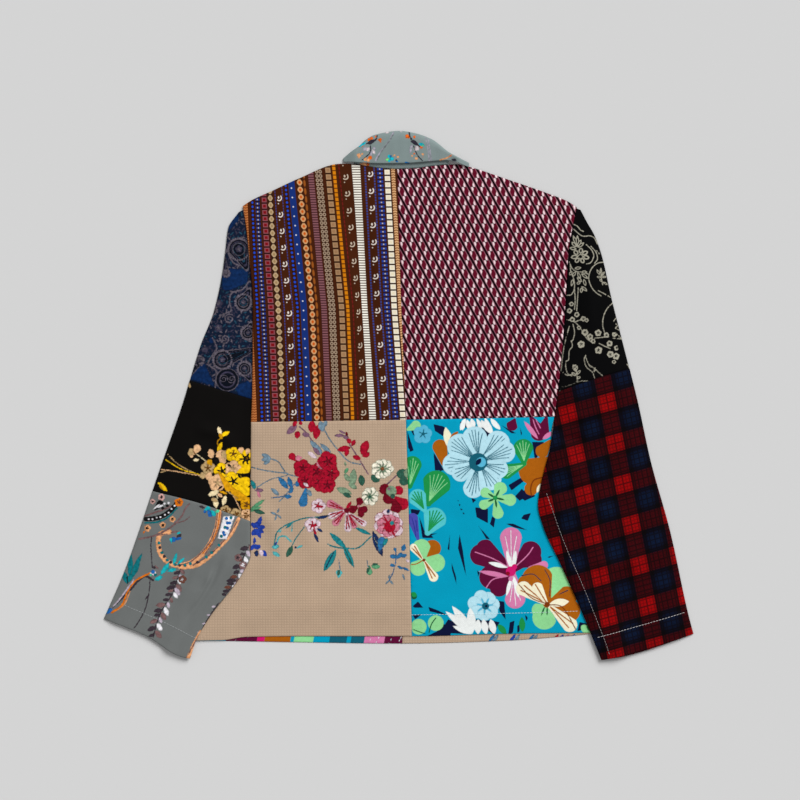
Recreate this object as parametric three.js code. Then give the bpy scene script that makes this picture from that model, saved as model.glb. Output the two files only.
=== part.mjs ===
// A short patchwork jacket laid flat on its front, so that its back faces up.
//
// Each cut piece of cloth is one closed wall. The fronts lie on the surface, the back lies over
// them, and each sleeve is a flattened tube. At the wearer's left the back is folded over the sleeve
// down to the pleat's end, and below it the sleeve lies on the body. At the wearer's right the
// sleeve lies on the body from the underarm down. The collar is folded down over its stand.
import * as THREE from "three";

// Driving dimensions, in millimetres. Z = 0 is the surface that the jacket lies on, +Y runs
// towards the collar, +X towards the wearer's right, and the origin is under the middle.
const CLOTH = 1.2;                        // wall of every piece
const GAP = 0.3;                          // clearance between neighbouring pieces
const CROWN = 3.0;                        // how far the air under the back lifts it
const PUFF = 2.2;                         // the same inside the sleeves
const SLOPE = 45;                         // width of the slope from an edge up to the crown
const PLEAT_BAND = 14;                    // depth of the side pleat's doubled cloth
const PLEAT_EASE = 12;                    // width over which the doubled cloth thins out
const PLEAT_FULL_TO = -130;               // height down to which the pleat is at its full depth
const PLEAT_END = -190;                   // height at which the pleat has opened out
const TUCK = 18;                          // width of sleeve that stays flat under the pleat
const SLEEVE_MARGIN = 3;                  // how far beyond a sleeve that lies on it the back is flat
const SEAM_INSET = GAP / 2;
const SLEEVE_SLOPE = 22;                  // width of the slopes along a sleeve's edges
const SLEEVE_LANDING = 32;                // how far beside the body a lifted sleeve comes down
const SLEEVE_ROW = 19;                    // step between the sections of a sleeve
const FRONT_DROP = 3;                     // how far the fronts' shoulder lies below the back's
const COLLAR_ENDS = [-75, 95];            // x of the folded collar's two ends
const STAND_ENDS = [-60, 67];             // x of the stand's ends, inside the fall
const STAND_HEIGHT = 22;                  // how far the stand reaches up under the fall
const STAND_CLEARANCE = 0.7;              // between the stand and the neckline it is sewn to

// Levels worked out from the wall and the clearance.
const BACK_TOP = 2 * CLOTH + GAP;         // upper face of the back where it is pressed flat
const DOUBLED = CLOTH + GAP;              // what a second layer adds to a wall
const SLEEVE_LIFT = BACK_TOP + 2.5 * GAP; // underside of a sleeve that lies on the body

// Heights where the pieces' corners lie, on the wearer's left and right.
const SHOULDER_TIP = { left: 255, right: 253.5 };
const UNDERARM = { left: -36, right: -29 };
const HEM_CORNER = { left: -331, right: -320 };
const NECK_CENTRE = 305;
const WAIST_CENTRE = -33;
const BACK_HEM_CENTRE = -325;
const FRONT_HEM_CENTRE = -335;

// Side edges: x at a height y, from the top down.
const CENTRE_SEAM = through([[305, -2], [140, 2.6], [-33, 9.6], [-328, 18]]);
const BODY_LEFT = through([
  [255, -208.5], [221, -203], [186, -201], [126, -197], [74, -197], [-6, -198], [-36, -199.3],
  [-190, -198.8], [-216, -197.5], [-232, -203.5], [-245, -211], [-331, -285],
]);
const BODY_RIGHT = through([
  [253.5, 240], [224, 234], [195, 229], [143.5, 226], [75, 221.5], [9, 215], [-29, 210],
  [-52, 206], [-90, 222], [-170, 246], [-321, 281],
]);
const FRONT_LEFT = through([
  [250, -207.5], [200, -199.5], [172, -190.5], [126, -187.5], [-100, -187.5], [-135, -198.6],
  [-216, -197.5], [-232, -203.5], [-245, -211], [-331, -285],
]);
const FRONT_EDGE = through([[302, 8], [-335, 5]]);
const LEFT_SLEEVE_OUTER = through([
  [247, -216], [226, -230], [195, -234], [160, -239], [112, -250], [69, -267], [21, -282],
  [-6, -290], [-104, -324], [-234, -369], [-301.5, -398],
]);
const LEFT_SLEEVE_INNER = through([
  [250, -210.5], [221, -204.8], [200, -201.5], [172, -192.5], [126, -189], [-76, -189],
  [-110, -200.2], [-216, -199.9], [-239, -209.8], [-269, -232], [-299, -254.5], [-329, -272],
  [-355, -281],
]);
const RIGHT_SLEEVE_OUTER = through([
  [250, 245.5], [234, 254], [215.5, 264.5], [186, 275], [133, 287], [74, 302], [-9, 323],
  [-87, 340], [-185, 367], [-291, 390], [-322, 398],
]);
const RIGHT_SLEEVE_INNER = through([
  [252, 240.5], [224, 234.6], [195, 229.6], [143.5, 226.6], [75, 222.1], [9, 215.6],
  [-29, 210.6], [-74, 203], [-101, 196], [-132, 189], [-149, 187.5], [-176, 194], [-226, 217],
  [-291, 246], [-357, 273],
]);

// Top and bottom edges: y at a place x, from the left to the right.
const SHOULDER_LEFT = through([
  [-208.5, 255], [-198, 262], [-170, 275], [-136, 291], [-82, 311.5], [-71, 312], [-22, 306],
  [-2, 305],
]);
const SHOULDER_RIGHT = through([
  [-2, 305], [27, 306.5], [44, 309], [80, 311.5], [96, 308], [141.5, 293], [202, 272],
  [229, 261], [240, 253.5],
]);
const WAIST = through([[-199, -36], [9.6, -33], [210, -29]]);
const BACK_HEM = through([
  [-285, -331], [-240, -330.5], [-205, -326], [-133, -325], [18, -325], [136, -322], [281, -320],
]);
const FRONT_HEM = through([
  [-285, -331], [-236, -331.5], [-150, -333], [5, -335], [136, -332], [226, -326], [281, -321],
]);
const COLLAR_TOP = through([
  [-75, 319.5], [-64, 329], [-54, 336], [-43, 346], [-31, 352], [1, 357], [19, 354.5], [44, 346],
  [68, 328], [95, 313],
]);
const COLLAR_LOWER = through([[-75, 315], [-22, 312.3], [11, 312.8], [65, 316.5], [95, 307.5]]);
const SLEEVE_HEAD_LEFT = through([[-216, 247], [-210, 250]]);
const SLEEVE_HEAD_RIGHT = through([[240, 252], [246, 250]]);
const PAISLEY_SEAM = through([[-282, 20], [-189, -8]]);
const GREY_SEAM = through([[-333, -129], [-270, -145], [-200, -170]]);
const LEFT_CUFF = through([[-398, -301.5], [-342, -324], [-292, -353], [-281, -355]]);
const PLAID_SEAM = through([[215, 4.5], [264.5, 22.5], [311, 36]]);
const RIGHT_CUFF = through([[273, -357], [307.5, -351], [398, -322]]);

// The largest soft folds: each runs from one point to another, with its half width and its height.
const BODY_FOLDS = [
  { from: [-47, 225], to: [-40, 75], width: 16, height: -1.3 },    // dent beside the centre back
  { from: [205, 130], to: [150, 60], width: 14, height: 0.6 },     // drag line from the armhole
  { from: [-190, 120], to: [-120, 40], width: 18, height: 0.6 },   // drag line from the pleat
  { from: [-150, -110], to: [-90, -250], width: 22, height: 0.6 },
  { from: [150, -110], to: [70, -240], width: 22, height: 0.6 },
];
const LEFT_SLEEVE_FOLDS = [
  { from: [-222, -215], to: [-300, -320], width: 9, height: 1.1 }, // runs along the inner side
  { from: [-240, -205], to: [-330, -300], width: 10, height: -0.9 },
  { from: [-215, -70], to: [-270, -40], width: 12, height: 0.9 },
];
const RIGHT_SLEEVE_FOLDS = [
  { from: [215, -90], to: [300, -60], width: 12, height: 1.1 },    // elbow
  { from: [205, -150], to: [300, -130], width: 13, height: -0.9 },
  { from: [250, 200], to: [262, 60], width: 12, height: 0.8 },
];

/** A smooth line through [key, value] points that never swings past them. */
function through(points) {
  const slope = i => (points[i + 1][1] - points[i][1]) / (points[i + 1][0] - points[i][0]);
  const last = points.length - 1;
  const tangents = points.map((_, i) => {
    if (i === 0) return slope(0);
    if (i === last) return slope(last - 1);
    const product = slope(i - 1) * slope(i);
    return product <= 0 ? 0 : (2 * product) / (slope(i - 1) + slope(i));
  });
  const direction = Math.sign(points[last][0] - points[0][0]);
  return key => {
    let i = 0;
    while (i < last - 1 && (key - points[i + 1][0]) * direction > 0) i += 1;
    const span = points[i + 1][0] - points[i][0];
    const t = (key - points[i][0]) / span;
    const [start, end] = [points[i][1], points[i + 1][1]];
    if (t < 0) return start + tangents[i] * span * t;
    if (t > 1) return end + tangents[i + 1] * span * (t - 1);
    const bend = (1 - t) * span * tangents[i] - t * span * tangents[i + 1];
    const even = (1 - 2 * t) * (start - end);
    return start + (end - start) * t + t * (1 - t) * (bend + even);
  };
}

const mix = (a, b, t) => a + (b - a) * t;

/** 0 at or below 0, 1 at or above 1, and a soft rise between. */
const soften = t => THREE.MathUtils.smoothstep(t, 0, 1);

/** Height that a list of soft folds adds at a place. */
function foldHeight(folds, x, y) {
  let height = 0;
  for (const fold of folds) {
    const [dx, dy] = [fold.to[0] - fold.from[0], fold.to[1] - fold.from[1]];
    const length = Math.hypot(dx, dy);
    const along = ((x - fold.from[0]) * dx + (y - fold.from[1]) * dy) / length;
    const across = ((x - fold.from[0]) * dy - (y - fold.from[1]) * dx) / length;
    const fade = soften(along / (0.3 * length)) * soften((length - along) / (0.3 * length));
    height += fold.height * fade * Math.exp(-((across / fold.width) ** 2));
  }
  return height;
}

/**
 * A four-sided patch between two side edges and a top and a bottom edge. left and right hold an
 * edge and the heights where the patch starts and ends on it. Gives the place at (u, v), with u
 * from the left to the right and v from the top down.
 */
function patch({ left, right, top, bottom }) {
  const side = ({ edge, from, to }, v) => {
    const y = mix(from, to, v);
    return [edge(y), y];
  };
  const corners = [side(left, 0), side(right, 0), side(left, 1), side(right, 1)];
  const place = (u, v) => {
    const xTop = mix(corners[0][0], corners[1][0], u);
    const xBottom = mix(corners[2][0], corners[3][0], u);
    const topCorrection = mix(corners[0][1] - top(corners[0][0]), corners[1][1] - top(corners[1][0]), u);
    const bottomCorrection = mix(
      corners[2][1] - bottom(corners[2][0]), corners[3][1] - bottom(corners[3][0]), u);
    const onTop = [xTop, top(xTop) + topCorrection];
    const onBottom = [xBottom, bottom(xBottom) + bottomCorrection];
    const [onLeft, onRight] = [side(left, v), side(right, v)];
    return [0, 1].map(axis => {
      const ruled = mix(onTop[axis], onBottom[axis], v) + mix(onLeft[axis], onRight[axis], u);
      const [topLeft, topRight, bottomLeft, bottomRight] = corners.map(corner => corner[axis]);
      return ruled - mix(mix(topLeft, topRight, u), mix(bottomLeft, bottomRight, u), v);
    });
  };
  const distance = (a, b) => Math.hypot(a[0] - b[0], a[1] - b[1]);
  place.width = distance(place(0, 0.5), place(1, 0.5));
  place.height = distance(place(0.5, 0), place(0.5, 1));
  return place;
}

/** Even fractions from 0 to 1, drawn in at both ends by the seam's half clearance. */
function spread(count, length) {
  const inset = SEAM_INSET / length;
  return Array.from({ length: count + 1 }, (_, i) => mix(inset, 1 - inset, i / count));
}

/**
 * A closed wall between an outer and an inner sheet of points, as rows of [outer, inner] pairs.
 * A closed section joins the last column to the first one, as round a sleeve.
 */
function wall(rows, closedSection = false) {
  const [rowCount, columnCount] = [rows.length, rows[0].length];
  const vertices = rows.flat().flatMap(([outer, inner]) => [...outer, ...inner]);
  const index = (i, j, side) => 2 * (i * columnCount + (j % columnCount)) + side;
  const triangles = [];
  const quad = (a, b, c, d) => triangles.push(a, b, c, a, c, d);
  const columnSteps = closedSection ? columnCount : columnCount - 1;
  for (let i = 0; i < rowCount - 1; i += 1) {
    for (let j = 0; j < columnSteps; j += 1) {
      quad(index(i, j, 0), index(i + 1, j, 0), index(i + 1, j + 1, 0), index(i, j + 1, 0));
      quad(index(i, j, 1), index(i, j + 1, 1), index(i + 1, j + 1, 1), index(i + 1, j, 1));
    }
    if (!closedSection) {
      const end = columnCount - 1;
      quad(index(i, 0, 0), index(i, 0, 1), index(i + 1, 0, 1), index(i + 1, 0, 0));
      quad(index(i, end, 0), index(i + 1, end, 0), index(i + 1, end, 1), index(i, end, 1));
    }
  }
  for (let j = 0; j < columnSteps; j += 1) {
    const end = rowCount - 1;
    quad(index(0, j, 0), index(0, j + 1, 0), index(0, j + 1, 1), index(0, j, 1));
    quad(index(end, j, 0), index(end, j, 1), index(end, j + 1, 1), index(end, j + 1, 0));
  }
  return solid(vertices, triangles);
}

/** A geometry from points and triangles, turned so that its faces point out. */
function solid(vertices, triangles) {
  const corner = i => new THREE.Vector3(...vertices.slice(3 * i, 3 * i + 3));
  let volume = 0;
  for (let i = 0; i < triangles.length; i += 3) {
    const [a, b, c] = triangles.slice(i, i + 3).map(corner);
    volume += a.dot(b.cross(c));
  }
  const geometry = new THREE.BufferGeometry();
  geometry.setAttribute("position", new THREE.Float32BufferAttribute(vertices, 3));
  geometry.setIndex(volume > 0 ? triangles : triangles.reverse());
  geometry.computeVertexNormals();
  return geometry;
}

/** A flat panel: its upper face at height top(x, y), and its wall thickness(x, y) below it. */
function panel(place, { columns, rows, top, thickness = () => CLOTH }) {
  const grid = rows.map(v => columns.map(u => {
    const [x, y] = place(u, v);
    const z = top(x, y);
    return [[x, y, z], [x, y, z - thickness(x, y)]];
  }));
  return wall(grid);
}

/**
 * A folded or tubular piece: each row runs from the place's u = 0 edge to its u = 1 edge, as a
 * lower and an upper layer that a round fold joins at u = 1, and at u = 0 too unless it is open
 * there. under(x, y) is the underside's height and gap(x, y, ...) the clearance between layers.
 */
function folded(place, { rows, steps, under, gap, open }) {
  const sections = rows.map(v => {
    const [start, end] = [place(0, v), place(1, v)];
    const width = Math.hypot(end[0] - start[0], end[1] - start[1]);
    const outward = [(end[0] - start[0]) / width, (end[1] - start[1]) / width];
    const foldRadius = (CLOTH + gap(...end, 0, width)) / 2;
    const reach = foldRadius + CLOTH / 2;
    const first = (open ? SEAM_INSET : reach) / width;
    const fractions = Array.from({ length: steps + 1 }, (_, i) => mix(first, 1 - reach / width, i / steps));
    const layer = (u, upper) => {
      const [x, y] = place(u, v);
      const lower = under(x, y) + CLOTH / 2;
      const z = upper ? lower + CLOTH + gap(x, y, (1 - u) * width, u * width) : lower;
      const normal = upper ? 1 : -1;
      return [[x, y, z + normal * CLOTH / 2], [x, y, z - normal * CLOTH / 2]];
    };
    const nose = (u, sign) => {
      const [x, y] = place(u, v);
      const middle = under(x, y) + CLOTH / 2 + foldRadius;
      return [-0.25, 0, 0.25].map(turn => {
        const angle = turn * Math.PI;
        return [foldRadius + CLOTH / 2, foldRadius - CLOTH / 2].map(radius => [
          x + sign * outward[0] * radius * Math.cos(angle),
          y + sign * outward[1] * radius * Math.cos(angle),
          middle + radius * Math.sin(angle),
        ]);
      });
    };
    const lower = fractions.map(u => layer(u, false));
    const upper = fractions.map(u => layer(u, true)).reverse();
    const startFold = open ? [] : nose(fractions[0], -1).reverse();
    return [...lower, ...nose(fractions[steps], 1), ...upper, ...startFold];
  });
  return wall(sections, !open);
}

/** How far the back has risen from its pressed edges to its crown, 0 to 1. */
function backRise(x, y) {
  const pleatOpening = soften((PLEAT_FULL_TO - y) / (PLEAT_FULL_TO - PLEAT_END));
  const leftLimit = mix(BODY_LEFT(y) - SLOPE, LEFT_SLEEVE_INNER(y) + SLEEVE_MARGIN, pleatOpening);
  const rightLimit = y > UNDERARM.right ? BODY_RIGHT(y) : RIGHT_SLEEVE_INNER(y) - SLEEVE_MARGIN;
  const shoulder = x < CENTRE_SEAM(y) ? SHOULDER_LEFT(x) : SHOULDER_RIGHT(x);
  return soften((x - leftLimit) / SLOPE) * soften((rightLimit - x) / SLOPE)
    * soften((shoulder - y) / SLOPE) * soften((y - BACK_HEM(x)) / SLOPE);
}

/** The back's upper face. */
function backTop(x, y) {
  const rise = backRise(x, y);
  return BACK_TOP + rise * (CROWN + foldHeight(BODY_FOLDS, x, y));
}

/** The back's wall, which is doubled along the side pleat. */
function backWall(x, y) {
  const band = soften((PLEAT_BAND + PLEAT_EASE - (x - BODY_LEFT(y))) / PLEAT_EASE);
  const pleated = soften((y - PLEAT_END) / (PLEAT_FULL_TO - PLEAT_END));
  return CLOTH + DOUBLED * band * pleated * backRise(x, y);
}

/** Columns of a back panel that ends in the pleat: one more where the doubled cloth ends. */
function pleatColumns(count, width) {
  const [edge, ...others] = spread(count, width);
  return [edge, PLEAT_BAND / width, ...others.filter(u => u * width > PLEAT_BAND + PLEAT_EASE)];
}

/** One of the four backs, between the shoulder or the waist seam, the centre seam and the side. */
function backPanel(side, level) {
  const isLeft = side === "left";
  const isUpper = level === "upper";
  const outerEdge = {
    edge: isLeft ? BODY_LEFT : BODY_RIGHT,
    from: isUpper ? SHOULDER_TIP[side] : UNDERARM[side],
    to: isUpper ? UNDERARM[side] : HEM_CORNER[side],
  };
  const centreEdge = {
    edge: CENTRE_SEAM,
    from: isUpper ? NECK_CENTRE : WAIST_CENTRE,
    to: isUpper ? WAIST_CENTRE : BACK_HEM_CENTRE,
  };
  const shoulder = isLeft ? SHOULDER_LEFT : SHOULDER_RIGHT;
  const place = patch({
    left: isLeft ? outerEdge : centreEdge,
    right: isLeft ? centreEdge : outerEdge,
    top: isUpper ? shoulder : WAIST,
    bottom: isUpper ? WAIST : BACK_HEM,
  });
  const columns = isLeft ? pleatColumns(8, place.width) : spread(8, place.width);
  const rows = spread(isUpper ? 9 : 12, place.height);
  return panel(place, { columns, rows, top: backTop, thickness: backWall });
}

/** One of the four fronts. They lie flat on the surface and meet at the front opening. */
function frontPanel(side, level) {
  const isLeft = side === "left";
  const isUpper = level === "upper";
  const outerEdge = {
    edge: isLeft ? FRONT_LEFT : BODY_RIGHT,
    from: isUpper ? SHOULDER_TIP[side] - FRONT_DROP : UNDERARM[side],
    to: isUpper ? UNDERARM[side] : HEM_CORNER[side],
  };
  const openingEdge = {
    edge: FRONT_EDGE,
    from: isUpper ? NECK_CENTRE - FRONT_DROP : WAIST_CENTRE,
    to: isUpper ? WAIST_CENTRE : FRONT_HEM_CENTRE,
  };
  const shoulder = isLeft ? SHOULDER_LEFT : SHOULDER_RIGHT;
  const place = patch({
    left: isLeft ? outerEdge : openingEdge,
    right: isLeft ? openingEdge : outerEdge,
    top: isUpper ? x => shoulder(x) - FRONT_DROP : WAIST,
    bottom: isUpper ? WAIST : FRONT_HEM,
  });
  const rows = spread(isUpper ? 9 : 12, place.height);
  return panel(place, { columns: spread(4, place.width), rows, top: () => CLOTH });
}

/**
 * Height of a sleeve's underside. From the crossing down it is lifted by the body under it, and
 * beside the body it comes down to the surface again.
 */
const sleeveUnder = ({ crossing, climb, pastBody }) => (x, y) => {
  const onBody = soften((crossing - y) / climb);
  const overEdge = soften((SLEEVE_LANDING - pastBody(x, y)) / SLEEVE_SLOPE);
  return SLEEVE_LIFT * onBody * overEdge;
};

/** Clearance inside a sleeve, from its distances to the outer and to the inner fold. */
function sleeveGap(folds, tuck) {
  return (x, y, toOuter, toInner) => {
    const rise = soften(toOuter / SLEEVE_SLOPE) * soften((toInner - tuck) / SLEEVE_SLOPE);
    return GAP + rise * (PUFF + foldHeight(folds, x, y));
  };
}

const SLEEVES = {
  left: {
    inner: LEFT_SLEEVE_INNER,
    outer: LEFT_SLEEVE_OUTER,
    under: sleeveUnder({ crossing: -205, climb: 34, pastBody: (x, y) => BODY_LEFT(y) - x }),
    gap: sleeveGap(LEFT_SLEEVE_FOLDS, TUCK),
  },
  right: {
    inner: RIGHT_SLEEVE_INNER,
    outer: RIGHT_SLEEVE_OUTER,
    under: sleeveUnder({ crossing: -22, climb: 24, pastBody: (x, y) => x - BODY_RIGHT(y) }),
    gap: sleeveGap(RIGHT_SLEEVE_FOLDS, 0),
  },
};

/**
 * One cloth of a sleeve, between the seams top and bottom. outer and inner give the heights where
 * they meet the sleeve's edges, and it is open along the armhole where it is sewn to the body.
 */
function sleevePiece(side, { top, bottom, outer, inner, open = false }) {
  const sleeve = SLEEVES[side];
  const place = patch({
    left: { edge: sleeve.inner, from: inner[0], to: inner[1] },
    right: { edge: sleeve.outer, from: outer[0], to: outer[1] },
    top,
    bottom,
  });
  const rows = spread(Math.round(place.height / SLEEVE_ROW), place.height);
  return folded(place, { rows, steps: 7, under: sleeve.under, gap: sleeve.gap, open });
}

/** The collar's fall: its sections run from the free lower edge up to the roll line, and under. */
function collarFall() {
  const [from, to] = COLLAR_ENDS;
  const place = (u, v) => {
    const x = mix(from, to, v);
    return [x, mix(COLLAR_LOWER(x), COLLAR_TOP(x), u)];
  };
  const rollHeight = 3 * CLOTH + 3 * GAP;
  const gap = (x, y, toRoll) => {
    const ends = soften((x - from) / 18) * soften((to - x) / 18);
    return mix(GAP, rollHeight, ends) - 0.4 * soften((12 - toRoll) / 12) * ends;
  };
  const rows = Array.from({ length: 19 }, (_, i) => i / 18);
  const under = x => (BACK_TOP + GAP) * soften((x - STAND_ENDS[1]) / 15);
  return folded(place, { rows, steps: 4, under, gap, open: true });
}

/** The collar's stand, sewn to the neckline and turned up under the fall. */
function collarStand() {
  const lower = x => (x < CENTRE_SEAM(305) ? SHOULDER_LEFT(x) : SHOULDER_RIGHT(x)) + STAND_CLEARANCE;
  const place = (u, v) => {
    const x = mix(...STAND_ENDS, u);
    return [x, mix(Math.min(COLLAR_TOP(x) - 7, COLLAR_LOWER(x) + STAND_HEIGHT), lower(x), v)];
  };
  const top = (x, y) => BACK_TOP + GAP * soften((y - lower(x)) / 8);
  const columns = Array.from({ length: 11 }, (_, i) => i / 10);
  return panel(place, { columns, rows: [0, 0.4, 0.75, 1], top });
}

const COLOURS = {
  stripe: 0x4a2412, burgundy: 0x6e0a2c, beige: 0xc3a184, turquoise: 0x0099c4, paisley: 0x10203c,
  black: 0x141210, grey: 0x727272, botanical: 0x0b0b0c, plaid: 0x7a0d12, collar: 0x7e8b8b,
};

const PIECES = [
  ["collar_fall", collarFall(), COLOURS.collar],
  ["collar_stand", collarStand(), COLOURS.collar],
  ["back_upper_left", backPanel("left", "upper"), COLOURS.stripe],
  ["back_upper_right", backPanel("right", "upper"), COLOURS.burgundy],
  ["back_lower_left", backPanel("left", "lower"), COLOURS.beige],
  ["back_lower_right", backPanel("right", "lower"), COLOURS.turquoise],
  ["front_upper_left", frontPanel("left", "upper"), COLOURS.burgundy],
  ["front_upper_right", frontPanel("right", "upper"), COLOURS.stripe],
  ["front_lower_left", frontPanel("left", "lower"), COLOURS.turquoise],
  ["front_lower_right", frontPanel("right", "lower"), COLOURS.beige],
  ["sleeve_left_upper", sleevePiece("left",
    { top: SLEEVE_HEAD_LEFT, bottom: PAISLEY_SEAM, outer: [247, 20], inner: [250, -8], open: true }),
  COLOURS.paisley],
  ["sleeve_left_middle", sleevePiece("left",
    { top: PAISLEY_SEAM, bottom: GREY_SEAM, outer: [20, -129], inner: [-8, -170] }),
  COLOURS.black],
  ["sleeve_left_lower", sleevePiece("left",
    { top: GREY_SEAM, bottom: LEFT_CUFF, outer: [-129, -301.5], inner: [-170, -355] }),
  COLOURS.grey],
  ["sleeve_right_upper", sleevePiece("right",
    { top: SLEEVE_HEAD_RIGHT, bottom: PLAID_SEAM, outer: [250, 36], inner: [252, 4.5], open: true }),
  COLOURS.botanical],
  ["sleeve_right_lower", sleevePiece("right",
    { top: PLAID_SEAM, bottom: RIGHT_CUFF, outer: [36, -322], inner: [4.5, -357] }),
  COLOURS.plaid],
];

const jacket = new THREE.Group();
for (const [name, geometry, color] of PIECES) {
  const cloth = new THREE.MeshStandardMaterial({ color, roughness: 0.9, metalness: 0 });
  const mesh = new THREE.Mesh(geometry, cloth);
  mesh.name = name;
  jacket.add(mesh);
}

export default jacket;
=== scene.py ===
"""A short patchwork jacket laid flat on its front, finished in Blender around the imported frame."""

import math

import bmesh
import bpy
import numpy as np
from bpy.props import FloatProperty, FloatVectorProperty, PointerProperty
from mathutils import Matrix, Vector


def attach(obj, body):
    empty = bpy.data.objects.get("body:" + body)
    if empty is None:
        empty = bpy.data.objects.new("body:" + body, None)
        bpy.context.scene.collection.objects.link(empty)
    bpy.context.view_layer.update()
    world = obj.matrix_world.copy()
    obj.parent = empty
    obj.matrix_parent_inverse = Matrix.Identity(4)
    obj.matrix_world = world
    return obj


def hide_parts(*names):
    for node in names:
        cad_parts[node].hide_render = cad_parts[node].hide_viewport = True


bl_info = {
    "name": "Patchwork Jacket Laid Flat",
    "version": (1, 0, 0),
    "blender": (4, 5, 0),
    "location": "3D View > Sidebar > Jacket",
    "description": "Builds the cloth pieces, prints and stitching of a patchwork jacket",
    "category": "Object",
}

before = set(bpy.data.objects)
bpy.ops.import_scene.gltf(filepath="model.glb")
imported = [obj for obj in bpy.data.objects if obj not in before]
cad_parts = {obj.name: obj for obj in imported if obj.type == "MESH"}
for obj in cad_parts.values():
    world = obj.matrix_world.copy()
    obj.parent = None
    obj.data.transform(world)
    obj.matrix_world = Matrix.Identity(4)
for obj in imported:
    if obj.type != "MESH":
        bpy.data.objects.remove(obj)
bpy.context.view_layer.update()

MM = 0.001

# ---- The cut of the jacket, in millimetres. Z = 0 is the surface it lies on, +Y runs to the collar. ----

CLOTH = 1.2                                # wall of one layer
GAP = 0.3                                  # clearance between layers
BACK_TOP = 2 * CLOTH + GAP                 # upper face of the back where it is pressed flat
SLEEVE_LIFT = BACK_TOP + 2.5 * GAP         # underside of a sleeve that lies on the body
SLOPE = 45.0                               # width of the slope from an edge up to the crown
SLEEVE_SLOPE = 22.0
SLEEVE_LANDING = 32.0
SLEEVE_MARGIN = 3.0
TUCK = 18.0                                # sleeve that stays flat under the pleat
PLEAT_FULL_TO = -130.0
PLEAT_END = -190.0
UNDERARM_RIGHT = -29.0


def through(points):
    """A smooth line through (key, value) points that never swings past them."""
    keys, values = np.array(sorted(points), float).T
    steps = np.diff(keys)
    slopes = np.diff(values) / steps
    tangents = np.concatenate(([slopes[0]], np.zeros(len(slopes) - 1), [slopes[-1]]))
    for i in range(1, len(slopes)):
        product = slopes[i - 1] * slopes[i]
        if product > 0:
            tangents[i] = 2 * product / (slopes[i - 1] + slopes[i])

    def line(key):
        key = np.asarray(key, float)
        i = np.clip(np.searchsorted(keys, key) - 1, 0, len(slopes) - 1)
        t = (key - keys[i]) / steps[i]
        inside = np.clip(t, 0, 1)
        start, end = values[i], values[i + 1]
        bend = (1 - inside) * steps[i] * tangents[i] - inside * steps[i] * tangents[i + 1]
        level = (1 - 2 * inside) * (start - end)
        smooth = start + (end - start) * inside + inside * (1 - inside) * (bend + level)
        beyond = np.where(t < 0, tangents[i], tangents[i + 1]) * (t - inside) * steps[i]
        return smooth + beyond

    return line


# Side edges: x at a height y.
CENTRE_SEAM = through([(305, -2), (140, 2.6), (-33, 9.6), (-328, 18)])
BODY_LEFT = through([
    (255, -210.6), (221, -205.2), (186, -201.8), (126, -197), (74, -197), (-6, -198), (-36, -199.3),
    (-190, -199.8), (-216, -200.2), (-232, -207), (-245, -214), (-331, -285),
])
BODY_RIGHT = through([
    (253.5, 240), (224, 234), (195, 229), (143.5, 226), (75, 221.5), (9, 215), (-29, 210),
    (-52, 206), (-90, 222), (-170, 246), (-321, 281),
])
FRONT_LEFT = through([
    (250, -207.5), (200, -199.5), (172, -190.5), (126, -187.5), (-100, -187.5), (-135, -198.6),
    (-216, -197.5), (-232, -203.5), (-245, -211), (-331, -285),
])
FRONT_EDGE = through([(302, 8), (-335, 5)])
LEFT_SLEEVE_OUTER = through([
    (247, -216), (226, -230), (195, -234), (160, -239), (112, -250), (69, -267), (21, -282),
    (-6, -290), (-104, -324), (-234, -369), (-301.5, -398),
])
LEFT_SLEEVE_INNER = through([
    (250, -210.5), (221, -204.8), (200, -201.5), (172, -192.5), (126, -189), (-76, -189),
    (-110, -200.2), (-216, -199.9), (-239, -209.8), (-269, -232), (-299, -254.5), (-329, -272),
    (-355, -281),
])
RIGHT_SLEEVE_OUTER = through([
    (250, 245.5), (234, 254), (215.5, 264.5), (186, 275), (133, 287), (74, 302), (-9, 323),
    (-87, 340), (-185, 367), (-291, 390), (-322, 398),
])
RIGHT_SLEEVE_INNER = through([
    (252, 240), (224, 234), (195, 229), (143.5, 226), (75, 221.5), (9, 215), (-29, 210), (-74, 203),
    (-101, 196), (-132, 189), (-149, 187.5), (-176, 194), (-226, 217), (-291, 246), (-357, 273),
])

# Top and bottom edges: y at a place x.
SHOULDER_LEFT = through([
    (-208.5, 255), (-198, 262), (-170, 275), (-136, 291), (-82, 311.5), (-71, 312), (-22, 306),
    (-2, 305),
])
SHOULDER_RIGHT = through([
    (-2, 305), (27, 306.5), (44, 309), (80, 311.5), (96, 308), (141.5, 293), (202, 272),
    (229, 261), (240, 253.5),
])
WAIST = through([(-199, -36), (9.6, -33), (210, -29)])
BACK_HEM = through([
    (-285, -331), (-240, -330.5), (-205, -326), (-133, -325), (18, -325), (136, -322),
    (281, -320),
])
FRONT_HEM = through([
    (-285, -331), (-236, -331.5), (-150, -333), (5, -335), (136, -332), (226, -326),
    (281, -321),
])
COLLAR_TOP = through([
    (-75, 319.5), (-64, 329), (-54, 336), (-43, 346), (-31, 352), (1, 357), (19, 354.5),
    (44, 346), (68, 328), (95, 313),
])
COLLAR_LOWER = through([(-75, 315), (-22, 312.3), (11, 312.8), (65, 316.5), (95, 307.5)])
SLEEVE_HEAD_LEFT = through([(-216, 247), (-210, 250)])
SLEEVE_HEAD_RIGHT = through([(240, 252), (246, 250)])
PAISLEY_SEAM = through([(-282, 20), (-189, -8)])
GREY_SEAM = through([(-333, -129), (-270, -145), (-200, -170)])
LEFT_CUFF = through([(-398, -301.5), (-342, -324), (-292, -353), (-281, -355)])
PLAID_SEAM = through([(215, 4.5), (264.5, 22.5), (311, 36)])
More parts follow.
